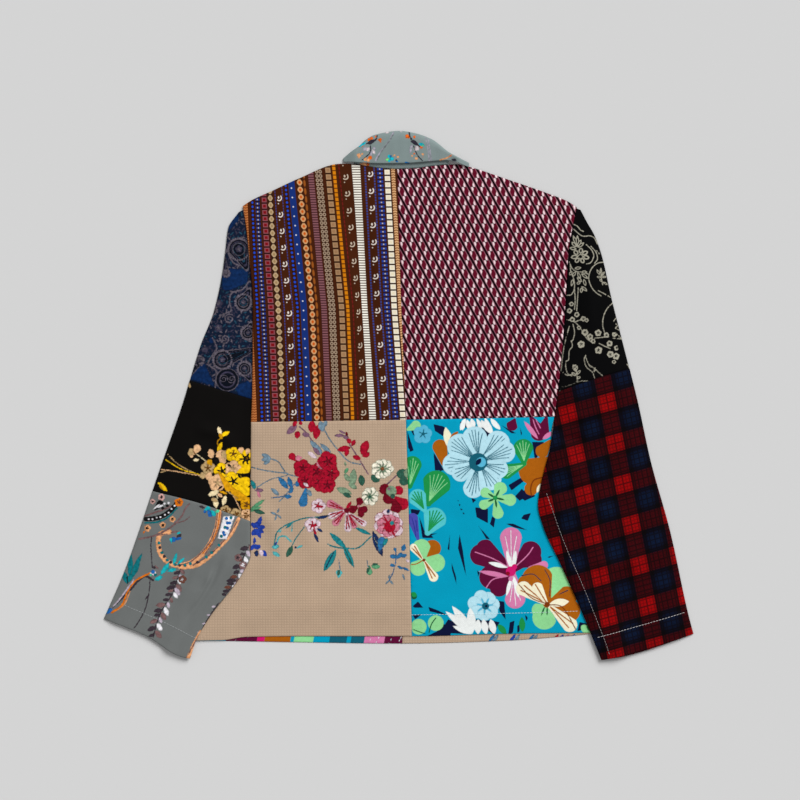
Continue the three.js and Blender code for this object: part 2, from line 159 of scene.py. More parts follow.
RIGHT_CUFF = through([(273, -357), (307.5, -351), (398, -322)])

# How an edge rolls away: (inset from the edge, share of the way down to the lower face), from the
# face to the part that is turned under.
SEAM_ROLL = [(5, 0), (3, 0.03), (1.6, 0.13), (0.8, 0.3), (0.25, 0.6), (-0.15, 1.1)]
HEM_ROLL = [(4, 0), (2, 0.03), (1, 0.12), (0.4, 0.3), (0.1, 0.6), (0.4, 0.95), (1.2, 1.05), (9, 1.05)]
PLEAT_ROLL = [
    (9, 0), (5, 0.03), (3, 0.09), (1.6, 0.2), (0.7, 0.35), (0.15, 0.55), (0.5, 0.8), (1.5, 0.97),
    (13, 1),
]
TUBE_ROLL = [
    (7, 0), (4, 0.05), (2.4, 0.14), (1.3, 0.28), (0.5, 0.46), (0.3, 0.62), (0.8, 0.82), (2, 0.96),
    (5, 1),
]
COLLAR_ROLL = [
    (14, 0), (9, 0.05), (6, 0.13), (3.6, 0.26), (1.8, 0.42), (0.6, 0.6), (0.2, 0.75), (0.8, 0.9),
    (2.5, 0.97), (9, 1),
]


def soften(t):
    """0 at or below 0, 1 at or above 1, and a soft rise between."""
    t = np.clip(t, 0, 1)
    return t * t * (3 - 2 * t)


def mix(a, b, t):
    return a + (b - a) * t


class Patch:
    """A four-sided piece between two side edges and a top and a bottom edge."""

    def __init__(self, left, right, top, bottom):
        self.left, self.right, self.top, self.bottom = left, right, top, bottom
        self.corners = [self.side(edge, v) for v in (0, 1) for edge in (left, right)]
        middle_left, middle_right = self.place(0, 0.5), self.place(1, 0.5)
        self.width = math.hypot(*(b - a for a, b in zip(middle_left, middle_right)))
        self.height = math.hypot(*(b - a for a, b in zip(self.place(0.5, 0), self.place(0.5, 1))))

    @staticmethod
    def side(edge, v):
        line, start, end = edge
        y = mix(start, end, v)
        return line(y), y

    def place(self, u, v):
        """The place at u from the left to the right, and v from the top down."""
        u, v = np.asarray(u, float), np.asarray(v, float)
        (x0, y0), (x1, y1), (x2, y2), (x3, y3) = self.corners
        x_top, x_bottom = mix(x0, x1, u), mix(x2, x3, u)
        y_top = self.top(x_top) + mix(y0 - self.top(x0), y1 - self.top(x1), u)
        y_bottom = self.bottom(x_bottom) + mix(y2 - self.bottom(x2), y3 - self.bottom(x3), u)
        (x_left, y_left), (x_right, y_right) = self.side(self.left, v), self.side(self.right, v)
        x = mix(x_top, x_bottom, v) + mix(x_left, x_right, u) - mix(mix(x0, x1, u), mix(x2, x3, u), v)
        y = mix(y_top, y_bottom, v) + mix(y_left, y_right, u) - mix(mix(y0, y1, u), mix(y2, y3, u), v)
        return x, y

    def area(self):
        """Area of the outline, in square millimetres."""
        steps = np.linspace(0, 1, 60)
        rim = [self.place(steps, 0 * steps), self.place(0 * steps + 1, steps),
               self.place(steps[::-1], 0 * steps + 1), self.place(0 * steps, steps[::-1])]
        x = np.concatenate([part[0] for part in rim])
        y = np.concatenate([part[1] for part in rim])
        return 0.5 * abs(np.dot(x, np.roll(y, 1)) - np.dot(y, np.roll(x, 1)))


def run(length, step, start, end):
    """
    Stations along a run with a roll at each end. Gives each station's place, how far it has rolled,
    and its place on the cloth when it is spread flat.
    """
    first, last = start[0][0], end[0][0]
    count = max(2, round((length - first - last) / step))
    middle = list(np.linspace(first, length - last, count + 1)[1:-1])

    def flat(roll):
        turn = min(range(len(roll)), key=lambda i: roll[i][0])
        return [inset if i <= turn else -inset for i, (inset, _) in enumerate(roll)]

    places = [inset for inset, _ in reversed(start)] + middle + [length - inset for inset, _ in end]
    falls = [fall for _, fall in reversed(start)] + [0] * len(middle) + [fall for _, fall in end]
    spread = list(reversed(flat(start))) + middle + [length - inset for inset in flat(end)]
    return np.array(places) / length, np.array(falls), np.array(spread) / length


def to_segment(x, y, start, end):
    """Distance to a straight piece, how far along it the nearest place is, and its length."""
    length, dx, dy = towards(*start, *end)
    along = np.clip((x - start[0]) * dx + (y - start[1]) * dy, 0, length)
    return np.hypot(x - start[0] - along * dx, y - start[1] - along * dy), along, length


def towards(x0, y0, x1, y1):
    """Length and direction from one place to another."""
    length = math.hypot(x1 - x0, y1 - y0)
    return length, (x1 - x0) / length, (y1 - y0) / length


def folds_height(folds, x, y):
    """Height that soft folds add: each is (points, half width, height)."""
    total = np.zeros_like(x)
    for points, width, height in folds:
        whole, nearest, place = 0.0, np.full_like(x, 1e9), np.zeros_like(x)
        for start, end in zip(points, points[1:]):
            distance, along, length = to_segment(x, y, start, end)
            place = np.where(distance < nearest, whole + along, place)
            nearest = np.minimum(distance, nearest)
            whole += length
        fade = soften(place / (0.35 * whole)) * soften((whole - place) / (0.35 * whole))
        total += height * fade * np.exp(-(nearest / width) ** 2)
    return total


def ripple(x, y, seed):
    """The cloth's own slight unevenness, between about -1 and 1."""
    random = np.random.default_rng(seed)
    total = np.zeros_like(x)
    for _ in range(7):
        angle, wavelength, phase = random.uniform(0, math.pi), random.uniform(28, 95), random.uniform(0, 6.3)
        total += np.sin((x * math.cos(angle) + y * math.sin(angle)) * 2 * math.pi / wavelength + phase)
    return total / 7


# ---- Heights ----

BACK_FOLDS = [
    ([(-52, 250), (-46, 170), (-38, 75)], 13, -1.3),
    ([(-78, 240), (-70, 150)], 14, 0.7),
    ([(222, 120), (190, 95), (150, 60)], 8, 0.7),
    ([(222, 92), (185, 70)], 6, -0.6),
    ([(226, 160), (196, 172), (150, 165)], 7, 0.6),
    ([(224, 140), (200, 130)], 5, -0.5),
    ([(-192, 130), (-150, 90), (-110, 30)], 13, 0.6),
    ([(-192, 60), (-160, 20)], 10, -0.5),
    ([(-150, -110), (-120, -180), (-95, -250)], 22, 0.6),
    ([(-190, -150), (-150, -230)], 12, 0.5),
    ([(150, -110), (70, -240)], 22, 0.6),
    ([(186, -150), (150, -120)], 8, 0.7),
    ([(200, -190), (170, -230)], 9, -0.5),
    ([(-20, 60), (10, 0), (40, -60)], 14, 0.5),
]
LEFT_SLEEVE_FOLDS = [
    ([(-231, -205), (-252, -250), (-293, -318)], 5.5, -1.2),
    ([(-246, -228), (-262, -262), (-285, -300)], 4, 1.0),
    ([(-222, -232), (-262, -285), (-285, -335)], 6, 0.9),
    ([(-268, -205), (-290, -252), (-322, -300)], 7, -0.8),
    ([(-285, -215), (-310, -262)], 7, 0.7),
    ([(-215, -70), (-245, -50), (-280, -45)], 9, 0.9),
    ([(-212, -100), (-250, -88)], 6, -0.7),
    ([(-222, 120), (-240, 60), (-255, 10)], 8, 0.7),
    ([(-212, 60), (-235, 20)], 6, -0.6),
    ([(-300, -90), (-330, -150)], 9, 0.6),
]
RIGHT_SLEEVE_FOLDS = [
    ([(200, -112), (240, -100), (300, -75)], 7, 1.1),
    ([(196, -135), (235, -128), (285, -112)], 6, -1.0),
    ([(200, -158), (240, -160), (300, -150)], 7, 0.9),
    ([(214, -30), (250, -28), (290, -12)], 7, 0.8),
    ([(212, -60), (255, -58)], 6, -0.8),
    ([(236, -215), (290, -230), (350, -215)], 9, 0.6),
    ([(250, 200), (258, 130), (262, 60)], 9, 0.7),
    ([(236, 150), (244, 90)], 6, -0.6),
    ([(300, -170), (330, -260)], 10, 0.6),
]


def back_rise(x, y):
    """How far the back has risen from its pressed edges to its crown, 0 to 1."""
    opening = soften((PLEAT_FULL_TO - y) / (PLEAT_FULL_TO - PLEAT_END))
    left = mix(BODY_LEFT(y) - SLOPE, LEFT_SLEEVE_INNER(y) + SLEEVE_MARGIN, opening)
    right = np.where(y > UNDERARM_RIGHT, BODY_RIGHT(y), RIGHT_SLEEVE_INNER(y) - SLEEVE_MARGIN)
    shoulder = np.where(x < CENTRE_SEAM(y), SHOULDER_LEFT(x), SHOULDER_RIGHT(x))
    return (soften((x - left) / SLOPE) * soften((right - x) / SLOPE)
            * soften((shoulder - y) / SLOPE) * soften((y - BACK_HEM(x)) / SLOPE))


def back_top(x, y):
    jacket = bpy.context.scene.jacket
    lifted = jacket.crown / MM + folds_height(BACK_FOLDS, x, y) * jacket.folds
    return BACK_TOP + back_rise(x, y) * (lifted + 0.35 * ripple(x, y, 3))


def back_lower(x, y):
    """The lower face at the back's edges: two layers down along the side pleat."""
    at_pleat = soften((40 - (x - BODY_LEFT(y))) / 12) * soften((y - PLEAT_END) / (PLEAT_FULL_TO - PLEAT_END))
    return back_top(x, y) - CLOTH - (CLOTH + GAP) * at_pleat * back_rise(x, y)


def front_top(x, y):
    return CLOTH + 0 * x


def front_lower(x, y):
    return 0.1 + 0 * x


def left_sleeve_lower(x, y):
    on_body = soften((-205 - y) / 34)
    return 0.05 + SLEEVE_LIFT * on_body * soften((SLEEVE_LANDING + x - BODY_LEFT(y)) / SLEEVE_SLOPE)


def right_sleeve_lower(x, y):
    on_body = soften((-22 - y) / 24)
    return 0.05 + SLEEVE_LIFT * on_body * soften((SLEEVE_LANDING + BODY_RIGHT(y) - x) / SLEEVE_SLOPE)


def sleeve_top(lower, outer, inner, folds, tuck, seed):
    """The upper face of a sleeve, lifted by the air in it between its two folded edges."""

    def top(x, y):
        jacket = bpy.context.scene.jacket
        rise = soften(abs(outer(y) - x) / SLEEVE_SLOPE) * soften((abs(x - inner(y)) - tuck) / SLEEVE_SLOPE)
        lifted = jacket.puff / MM + folds_height(folds, x, y) * jacket.folds + 0.3 * ripple(x, y, seed)
        return lower(x, y) + 2 * CLOTH + GAP + rise * lifted

    return top


left_sleeve_top = sleeve_top(
    left_sleeve_lower, LEFT_SLEEVE_OUTER, LEFT_SLEEVE_INNER, LEFT_SLEEVE_FOLDS, TUCK, 5)
right_sleeve_top = sleeve_top(
    right_sleeve_lower, RIGHT_SLEEVE_OUTER, RIGHT_SLEEVE_INNER, RIGHT_SLEEVE_FOLDS, 0, 8)


# ---- Cloth pieces ----

SEAM_PUCKER = 0.16                         # how far a seam draws the cloth up and down
PUCKER_STEP = 8.5                          # from one pucker to the next
FLARE = 1.06                               # widest part of a cut, over its middle
TURN_UNDER = 1.12                          # whole height of a cut, over what lies flat


class Sheet:
    """A finished cloth piece, and where each of its vertices lies on the flat cloth."""

    def __init__(self, piece, patch, x, y, layers):
        self.piece, self.x, self.y = piece, x, y
        self.flat = (layers * patch.width * FLARE * MM, patch.height * TURN_UNDER * MM)
        self.area = layers * patch.area() * MM * MM


def mesh_from(bm, name):
    mesh = bpy.data.meshes.new(name)
    bm.to_mesh(mesh)
    bm.free()
    return mesh


def add_object(name, data):
    made = bpy.data.objects.new(name, data)
    bpy.context.scene.collection.objects.link(made)
    return made


def cloth_grid(name, patch, step, sides, ends):
    """
    The grid of a sheet on its patch, from the top left. Gives its mesh, and for each vertex its
    place, its share of the roll and its flat place, first across the patch and then down it.
    """
    across, down = run(patch.width, step, *sides), run(patch.height, step, *ends)
    columns, rows = len(across[0]), len(down[0])
    bm = bmesh.new()
    bmesh.ops.create_grid(bm, x_segments=columns - 1, y_segments=rows - 1, size=1)
    for face in bm.faces:
        face.smooth = True
    mesh = mesh_from(bm, name)
    places = np.empty(3 * len(mesh.vertices))
    mesh.vertices.foreach_get("co", places)
    right, up = places.reshape(-1, 3)[:, :2].T
    column = np.rint((right + 1) / 2 * (columns - 1)).astype(int)
    row = np.rint((1 - up) / 2 * (rows - 1)).astype(int)
    return mesh, [part[column] for part in across], [part[row] for part in down]


def cloth_sheet(node, patch, top, lower, step, sides, ends, layers=1):
    """
    One cloth piece as a sheet on its patch, rolled under along its edges. sides are the rolls on
    the left and right, which fall from the upper face to the lower one, and ends are those at the
    top and bottom, which fall by the cloth's own wall.
    """
    grid = cloth_grid(f"cloth_{node}", patch, step, sides, ends)
    mesh, (u, side_fall, flat_u), (v, end_fall, flat_v) = grid
    x, y = patch.place(u, v)
    z = mix(top(x, y), lower(x, y), side_fall) - CLOTH * end_fall * (1 - 2 * np.clip(side_fall, 0, 1))
    z += seam_puckers(patch, u, v, sides, ends) * np.clip(1 - side_fall, 0, 1)
    return make_sheet(mesh, patch, (x, y, z), patch.place(flat_u, flat_v), layers)


def make_sheet(mesh, patch, places, flat_places, layers):
    """Puts a grid's vertices in place and maps them to the flat cloth, in metres."""
    x, y, z = places
    mesh.vertices.foreach_set("co", (np.stack([x, y, np.maximum(z, 0.02)], axis=1) * MM).ravel())
    corners = np.empty(len(mesh.loops), dtype=np.int64)
    mesh.loops.foreach_get("vertex_index", corners)
    flat = np.stack(flat_places, axis=1) * MM
    mesh.uv_layers.new(name="Cloth").data.foreach_set("uv", flat[corners].ravel())
    mesh.update()
    return Sheet(add_object(mesh.name, mesh), patch, *flat_places, layers)


def seam_puckers(patch, u, v, sides, ends):
    """Small ups and downs along the edges that are sewn as seams."""
    total = np.zeros_like(u)
    across, down = u * patch.width, v * patch.height
    edges = [
        (sides[0], across, down), (sides[1], patch.width - across, down),
        (ends[0], down, across), (ends[1], patch.height - down, across),
    ]
    for roll, inset, along in edges:
        if roll is SEAM_ROLL:
            wave = np.sin(along * 2 * math.pi / PUCKER_STEP + 1.7 * np.sin(along / 23))
            total += SEAM_PUCKER * wave * np.exp(-inset / 5) * soften(inset / 2)
    return total


def finish(sheet, slot, material):
    """Gives a piece its material, sets it to ride on the root, and hides the frame's part that it takes the
    place of.
    """
    piece = sheet.piece
    piece.data.materials.append(material)
    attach(piece, "root")
    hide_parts(piece.name.removeprefix("cloth_"))


# ---- The pieces' patches ----

SHOULDER_TIP = {"left": 255, "right": 253.5}
UNDERARM = {"left": -36, "right": -29}
HEM_CORNER = {"left": -331, "right": -320}
NECK_CENTRE, WAIST_CENTRE, BACK_HEM_CENTRE, FRONT_HEM_CENTRE = 305, -33, -325, -335
FRONT_DROP = 3                             # the front's shoulders lie this far below the back's


def body_patch(side, level, outer, centre, top, bottom, drop, hem_centre):
    """A quarter of the body, between its side, the centre, and the shoulder or the waist."""
    upper = level == "upper"
    outer_edge = (
        outer,
        SHOULDER_TIP[side] - drop if upper else UNDERARM[side],
        UNDERARM[side] if upper else HEM_CORNER[side],
    )
    centre_edge = (
        centre,
        NECK_CENTRE - drop if upper else WAIST_CENTRE,
        WAIST_CENTRE if upper else hem_centre,
    )
    left, right = (outer_edge, centre_edge) if side == "left" else (centre_edge, outer_edge)
    return Patch(left, right, top if upper else WAIST, WAIST if upper else bottom)


def back_patch(side, level):
    outer, shoulder = (BODY_LEFT, SHOULDER_LEFT) if side == "left" else (BODY_RIGHT, SHOULDER_RIGHT)
    return body_patch(side, level, outer, CENTRE_SEAM, shoulder, BACK_HEM, 0, BACK_HEM_CENTRE)


def front_patch(side, level):
    outer, shoulder = (FRONT_LEFT, SHOULDER_LEFT) if side == "left" else (BODY_RIGHT, SHOULDER_RIGHT)

    def top(x):
        return shoulder(x) - FRONT_DROP

    return body_patch(side, level, outer, FRONT_EDGE, top, FRONT_HEM, FRONT_DROP, FRONT_HEM_CENTRE)


def sleeve_patch(side, top, bottom, outer, inner):
    """One cloth of a sleeve. outer and inner are the heights where it starts and ends there."""
    if side == "left":
        return Patch((LEFT_SLEEVE_OUTER, *outer), (LEFT_SLEEVE_INNER, *inner), top, bottom)
    return Patch((RIGHT_SLEEVE_INNER, *inner), (RIGHT_SLEEVE_OUTER, *outer), top, bottom)


def tube_roll(patch, share=0.5):
    """A fold with the cloth under it, as far as a share of the tube's width."""
    return TUBE_ROLL + [(part * share * patch.width, 1) for part in (0.3, 0.65, 1)]


def back_piece(side, level, step):
    left = PLEAT_ROLL if side == "left" else SEAM_ROLL
    right = SEAM_ROLL if side == "left" or level == "upper" else TUBE_ROLL
    ends = (SEAM_ROLL, SEAM_ROLL if level == "upper" else HEM_ROLL)
    patch = back_patch(side, level)
    return cloth_sheet(f"back_{level}_{side}", patch, back_top, back_lower, step, (left, right), ends)


def front_piece(side, level, step):
    ends = (SEAM_ROLL, SEAM_ROLL if level == "upper" else HEM_ROLL)
    patch = front_patch(side, level)
    sides = (SEAM_ROLL, SEAM_ROLL)
    return cloth_sheet(f"front_{level}_{side}", patch, front_top, front_lower, step, sides, ends)


def sleeve_piece(side, level, patch, step):
    """A sleeve's cloth. Both its sides are folds, but at the armhole its inner one is a seam."""
    folds = [tube_roll(patch), tube_roll(patch)]
    if level == "upper":
        folds = [tube_roll(patch, 0.97), SEAM_ROLL]
        if side == "right":
            folds.reverse()
    top, lower = (
        (left_sleeve_top, left_sleeve_lower) if side == "left" else (right_sleeve_top, right_sleeve_lower)
    )
    ends = (SEAM_ROLL, HEM_ROLL if level == "lower" else SEAM_ROLL)
    return cloth_sheet(f"sleeve_{side}_{level}", patch, top, lower, step, folds, ends, layers=2)


COLLAR_ENDS = (-75, 95)
STAND_ENDS = (-60, 67)
STAND_HEIGHT = 22
COLLAR_LIFT = 3 * CLOTH + 3 * GAP          # room inside the fold for the stand


def upright(x):
    """A side edge that stands upright at x."""
    return through([(400, x), (200, x)])


def collar_under(x):
    return 0.05 + (BACK_TOP + GAP) * soften((x - STAND_ENDS[1]) / 15)


def collar_fall():
    """The collar's fall, folded along its roll line, from its free lower edge to the one inside."""
    start, end = COLLAR_ENDS
    patch = Patch(
        (upright(start), COLLAR_TOP(start), COLLAR_LOWER(start)),
        (upright(end), COLLAR_TOP(end), COLLAR_LOWER(end)),
        COLLAR_TOP, COLLAR_LOWER,
    )
    ends = (COLLAR_ROLL + [(18, 1), (27, 1)], HEM_ROLL)
    grid = cloth_grid("cloth_collar_fall", patch, 0.9, (HEM_ROLL, HEM_ROLL), ends)
    mesh, (u, side_fall, flat_u), (v, end_fall, flat_v) = grid
    x, y = patch.place(u, v)
    inward = soften((x - start) / 18) * soften((end - x) / 18)
    depth = 2 * CLOTH + mix(GAP, COLLAR_LIFT, inward)
    ease = 0.25 * ripple(3 * x, y, 11) * inward
    at_roll = v < 0.5
    drop = np.where(at_roll, (depth + ease) * end_fall, CLOTH * end_fall)
    underside = at_roll & (end_fall > 0.7)
    z = collar_under(x) + depth + ease - drop + CLOTH * side_fall * np.where(underside, 0.5, -1)
    return make_sheet(mesh, patch, (x, y, z), patch.place(flat_u, flat_v), 2)


def neckline(x):
    return np.where(x < CENTRE_SEAM(NECK_CENTRE), SHOULDER_LEFT(x), SHOULDER_RIGHT(x)) + 0.7


def collar_stand():
    """The collar's stand, sewn to the neckline and turned up under the fall."""

    def top_edge(x):
        return np.minimum(COLLAR_TOP(x) - 7, COLLAR_LOWER(x) + STAND_HEIGHT)

    def top(x, y):
        return BACK_TOP + GAP * soften((y - neckline(x)) / 8)

    def lower(x, y):
        return top(x, y) - CLOTH

    start, end = STAND_ENDS
    patch = Patch(
        (upright(start), top_edge(start), neckline(start)), (upright(end), top_edge(end), neckline(end)),
        top_edge, neckline,
    )
    sides = (SEAM_ROLL, SEAM_ROLL)
    return cloth_sheet("collar_stand", patch, top, lower, 1.2, sides, sides)


# ---- Materials ----


def linear(hex_colour):
    """A colour written as a web colour, in the linear values that shaders take."""
    channels = [int(hex_colour[i:i + 2], 16) / 255 for i in (1, 3, 5)]
    return tuple(c / 12.92 if c <= 0.04045 else ((c + 0.055) / 1.055) ** 2.4 for c in channels) + (1,)


class Tree:
    """Short ways to add nodes to a shader tree. Values and colours are sockets or constants."""

    def __init__(self, tree):
        self.tree = tree

    def node(self, kind, inputs=None, **settings):
        node = self.tree.nodes.new(f"ShaderNode{kind}")
        for name, value in settings.items():
            setattr(node, name, value)
        for name, value in (inputs or {}).items():
            self.feed(node.inputs[name], value)
        return node

    def feed(self, socket, value):
        if isinstance(value, Field):
            value = value.socket
        if isinstance(value, bpy.types.NodeSocket):
            self.tree.links.new(value, socket)
        elif isinstance(value, str):
            socket.default_value = linear(value)[:len(socket.default_value)]
        else:
            socket.default_value = value

    def math(self, operation, *values):
        node = self.node("Math", operation=operation)
        for i, value in enumerate(values):
            self.feed(node.inputs[i], value)
        return Field(self, node.outputs[0])

    def field(self, value):
        return Field(self, value)

    def point(self, x, y):
        return self.node("CombineXYZ", {"X": x, "Y": y}).outputs[0]

    def noise(self, point, scale, detail):
        """Soft unevenness, to either side of 0."""
        node = self.node("TexNoise", {"Vector": point, "Scale": scale, "Detail": detail})
        return Field(self, node.outputs[0]) - 0.5

    def attribute(self, name):
        node = self.node("Attribute", attribute_name=name)
        return Field(self, node.outputs["Fac"])

    def colour_mix(self, share, first, second):
        node = self.node("Mix", data_type="RGBA")
        self.feed(node.inputs["Factor"], share)
        self.feed(node.inputs[6], first)
        self.feed(node.inputs[7], second)
        return node.outputs[2]

    def group(self, group, **inputs):
        node = self.node("Group", node_tree=group)
        for name, value in inputs.items():
            self.feed(node.inputs[name], value)
        return node

    def cloth_place(self):
        """The place on the flat cloth, in millimetres, as x and y."""
        flat = self.node("UVMap", uv_map="Cloth")
        parts = self.node("SeparateXYZ", {"Vector": flat.outputs[0]})
        return Field(self, parts.outputs[0]) / MM, Field(self, parts.outputs[1]) / MM


class Field:
    """A number that changes over the surface, with the usual arithmetic."""

    def __init__(self, tree, socket):
        self.tree, self.socket = tree, socket

    def __add__(self, other):
        return self.tree.math("ADD", self, other)

    def __sub__(self, other):
        return self.tree.math("SUBTRACT", self, other)

    def __rsub__(self, other):
        return self.tree.math("SUBTRACT", other, self)

    def __mul__(self, other):
        return self.tree.math("MULTIPLY", self, other)

    def __truediv__(self, other):
        return self.tree.math("DIVIDE", self, other)

    def size(self):
        return self.tree.math("ABSOLUTE", self)

    def fold(self, period):
        """Distance to the nearest whole multiple of the period, with its sign."""
        return self.tree.math("WRAP", self, period / 2, -period / 2)

    def least(self, other):
        return self.tree.math("MINIMUM", self, other)

    def most(self, other):
        return self.tree.math("MAXIMUM", self, other)

    def power(self, exponent):
        return self.tree.math("POWER", self, exponent)

    def inside(self, edge=0.35):
        """1 where this distance is below 0, 0 where it is above, with a soft edge."""
        node = self.tree.node("MapRange", {"From Min": edge, "From Max": -edge})
        self.tree.feed(node.inputs["Value"], self)
        return Field(self.tree, node.outputs[0])


def oval(dx, dy, half_width, half_height):
    """Roughly the distance outside an upright oval, in millimetres."""
    reach = ((dx / half_width).power(2) + (dy / half_height).power(2)).power(0.5)
    return (reach - 1) * half_width


def box(dx, dy, half_width, half_height):
    return (dx.size() - half_width).most(dy.size() - half_height)


def bead(dx, dy, half_width, half_height):
    """A six-sided bead: a box whose corners are cut."""
    cut = dx.size() * 0.8 + dy.size() * 0.6 - half_height * 0.85
    return box(dx, dy, half_width, half_height).most(cut)


def node_group(name, inputs, outputs):
    """An empty group with named sockets: its tree, its input node and its output node."""
    group = bpy.data.node_groups.new(name, "ShaderNodeTree")
    for socket, (kind, value) in inputs.items():
        made = group.interface.new_socket(socket, in_out="INPUT", socket_type=f"NodeSocket{kind}")
        made.default_value = value
    for socket, kind in outputs.items():
        group.interface.new_socket(socket, in_out="OUTPUT", socket_type=f"NodeSocket{kind}")
    tree = Tree(group)
    return tree, group.nodes.new("NodeGroupInput"), group.nodes.new("NodeGroupOutput")


def weave_group():
    """A plain weave: the height of its threads, and painted shade that darkens the gaps between them."""
    tree, given, made = node_group(
        "Woven threads",
        {"X": ("Float", 0), "Y": ("Float", 0), "Thread": ("Float", 0.6), "Slub": ("Float", 0.5)},
        {"Height": "Float", "GapShade": "Float"},
    )
    x, y, thread = (tree.field(given.outputs[name]) for name in ("X", "Y", "Thread"))
    wander = tree.noise(tree.point(x, y), 0.35, 3.0) * given.outputs["Slub"]
    across, along = (x + wander) / thread * math.pi, (y + wander) / thread * math.pi
    warp, weft = tree.math("SINE", across).size(), tree.math("SINE", along).size()
    over = tree.math("SINE", across / 2) * tree.math("SINE", along / 2)
    tree.feed(made.inputs["Height"], warp.most(weft) * 0.7 + over * 0.3)
    # painted shade: darkest in the gaps between the threads
    tree.feed(made.inputs["GapShade"], (1 - warp) * (1 - weft))


def dye_group():
    """The unevenness of dyed or printed cloth: shade over a hand's width, and flecks of fibre."""
    tree, given, made = node_group(
        "Uneven dye",
        {"X": ("Float", 0), "Y": ("Float", 0), "Amount": ("Float", 0.1), "Fleck": ("Float", 0.1)},
        {"Shade": "Float"},
    )
    point = tree.point(given.outputs["X"], given.outputs["Y"])
    shade = tree.noise(point, 0.03, 2.0) * given.outputs["Amount"] * 2
    fleck = tree.noise(point, 1.1, 3.0) * given.outputs["Fleck"] * 2
    tree.feed(made.inputs["Shade"], shade + fleck + 1)


def plain_material(name, colour, roughness, specular):
    """A material with one colour all over."""
    material = bpy.data.materials.new(name)
    material.use_nodes = True
    shader = material.node_tree.nodes["Principled BSDF"]
    shader.inputs["Base Color"].default_value = colour
    shader.inputs["Roughness"].default_value = roughness
    shader.inputs["Specular IOR Level"].default_value = specular
    return material


def cloth_material(name, paint, thread=0.6, relief=0.12, dye=0.1, fleck=0.12, waffle=0):
    """
    A woven cloth with painted shade in the gaps between its threads. paint gives its colour from a
    tree and the place on the cloth. waffle is the spacing of a raised grid with painted shade along
    its grooves, and 0 for none.
    """
    material = plain_material(name, (1, 1, 1, 1), 0.85, 0.06)
    tree, shader = Tree(material.node_tree), material.node_tree.nodes["Principled BSDF"]
    x, y = tree.cloth_place()
    weave = tree.group(bpy.data.node_groups["Woven threads"], X=x, Y=y, Thread=thread)
    uneven = tree.group(bpy.data.node_groups["Uneven dye"], X=x, Y=y, Amount=dye, Fleck=fleck)
    # the dye's uneven tone, times painted shade in the gaps between the threads
    shade = tree.field(uneven.outputs["Shade"]) * (1 - tree.field(weave.outputs["GapShade"]) * 0.35)
    height = tree.field(weave.outputs["Height"]) * relief
    if waffle:
        rib = x.fold(waffle).size().least(y.fold(waffle).size()) / (waffle / 2)
        height = height + rib.least(0.5) * 0.5
        # painted shade along the waffle's grooves, where the grid sinks
        shade = shade * (rib.least(0.35) * 0.42 + 0.87)
    colour = tree.node("VectorMath", operation="SCALE")
    tree.feed(colour.inputs[0], paint(tree, x, y))
    tree.feed(colour.inputs["Scale"], shade)
    tree.feed(shader.inputs["Base Color"], colour.outputs[0])
    bump = tree.node("Bump", {"Strength": 0.6, "Distance": 1 * MM, "Height": height})
    tree.feed(shader.inputs["Normal"], bump.outputs[0])
    return material


# The striped cloth's bands: (middle, half width, motif, repeat, ground, colour, core colour).
STRIPES = [
    (-200.0, 12.4, "braid", 3.4, "#8a441a", "#bc7440", "#5a2a10"),
    (-184.1, 2.6, "dots", 5.65, "#2c1208", "#1a48c4", "#1a48c4"),
    (-176.3, 3.8, "pins", 5.5, "#22121c", "#1c3684", "#b8b0b4"),
    (-165.5, 4.4, "squares", 8.5, "#200a08", "#8c4a52", "#7c0a14"),
    (-155.7, 3.8, "beads", 9.5, "#2c140a", "#b89c78", "#9c8058"),
    (-142.0, 8.6, "fleurs", 22.2, "#421c08", "#e0d6cc", "#34448c"),
    (-129.9, 2.6, "dots", 5.65, "#2c1208", "#1a48c4", "#1a48c4"),
    (-121.9, 4.8, "pins", 12.7, "#142e72", "#142e72", "#d8d6dc"),
    (-110.2, 3.8, "beads", 9.9, "#381606", "#cc9868", "#c8560a"),
    (-103.6, 1.6, "chain", 11.0, "#38160a", "#94501a", "#94501a"),
    (-94.1, 4.0, "ladder", 3.4, "#38181c", "#84545a", "#84545a"),
    (-83.4, 4.8, "rings", 5.8, "#321406", "#a08a74", "#3a1c0c"),
    (-70.4, 4.0, "squares", 9.2, "#2c1206", "#a88460", "#9a7452"),
    (-62.1, 2.4, "squares", 6.0, "#5a2a06", "#d07c0c", "#d07c0c"),
    (-55.0, 1.0, "chain", 6.0, "#401208", "#6a1a14", "#6a1a14"),
    (-48.0, 4.6, "fleurs", 22.7, "#421c08", "#c0b09c", "#421c08"),
    (-35.2, 4.9, "ladder", 3.4, "#4a3428", "#f2eee2", "#f2eee2"),
    (-18.0, 8.0, "fleurs", 23.0, "#421c08", "#e0d6cc", "#34448c"),
    (-4.3, 4.3, "pins", 5.65, "#2a1626", "#1c3c98", "#b8b0b8"),
    (5.5, 4.1, "squares", 8.6, "#2a1208", "#efe6d2", "#e6dabc"),
    (13.5, 2.6, "braid", 3.4, "#8a5a34", "#d8a878", "#5a2a10"),
]
STRIPE_GROUND = "#421c08"
STRIPE_SPAN = (-213, 20)                   # the widths that one set of stripes takes
STRIPE_EDGES = [STRIPE_SPAN[0]] + [(a[0] + b[0]) / 2 for a, b in zip(STRIPES, STRIPES[1:])]


def stripe_steps(tree, across, values):
    """A colour for each stripe, in steps over the width of the set."""
    first, last = STRIPE_SPAN
    node = tree.node("ValToRGB", {"Fac": (across - first) / (last - first)})
    bands = node.color_ramp
    bands.interpolation = "CONSTANT"
    bands.elements.remove(bands.elements[1])
    for i, (edge, value) in enumerate(zip(STRIPE_EDGES, values)):
        place = (edge - first) / (last - first)
        element = bands.elements[0] if i == 0 else bands.elements.new(place)
        element.position, element.color = place, value
    return node.outputs[0]


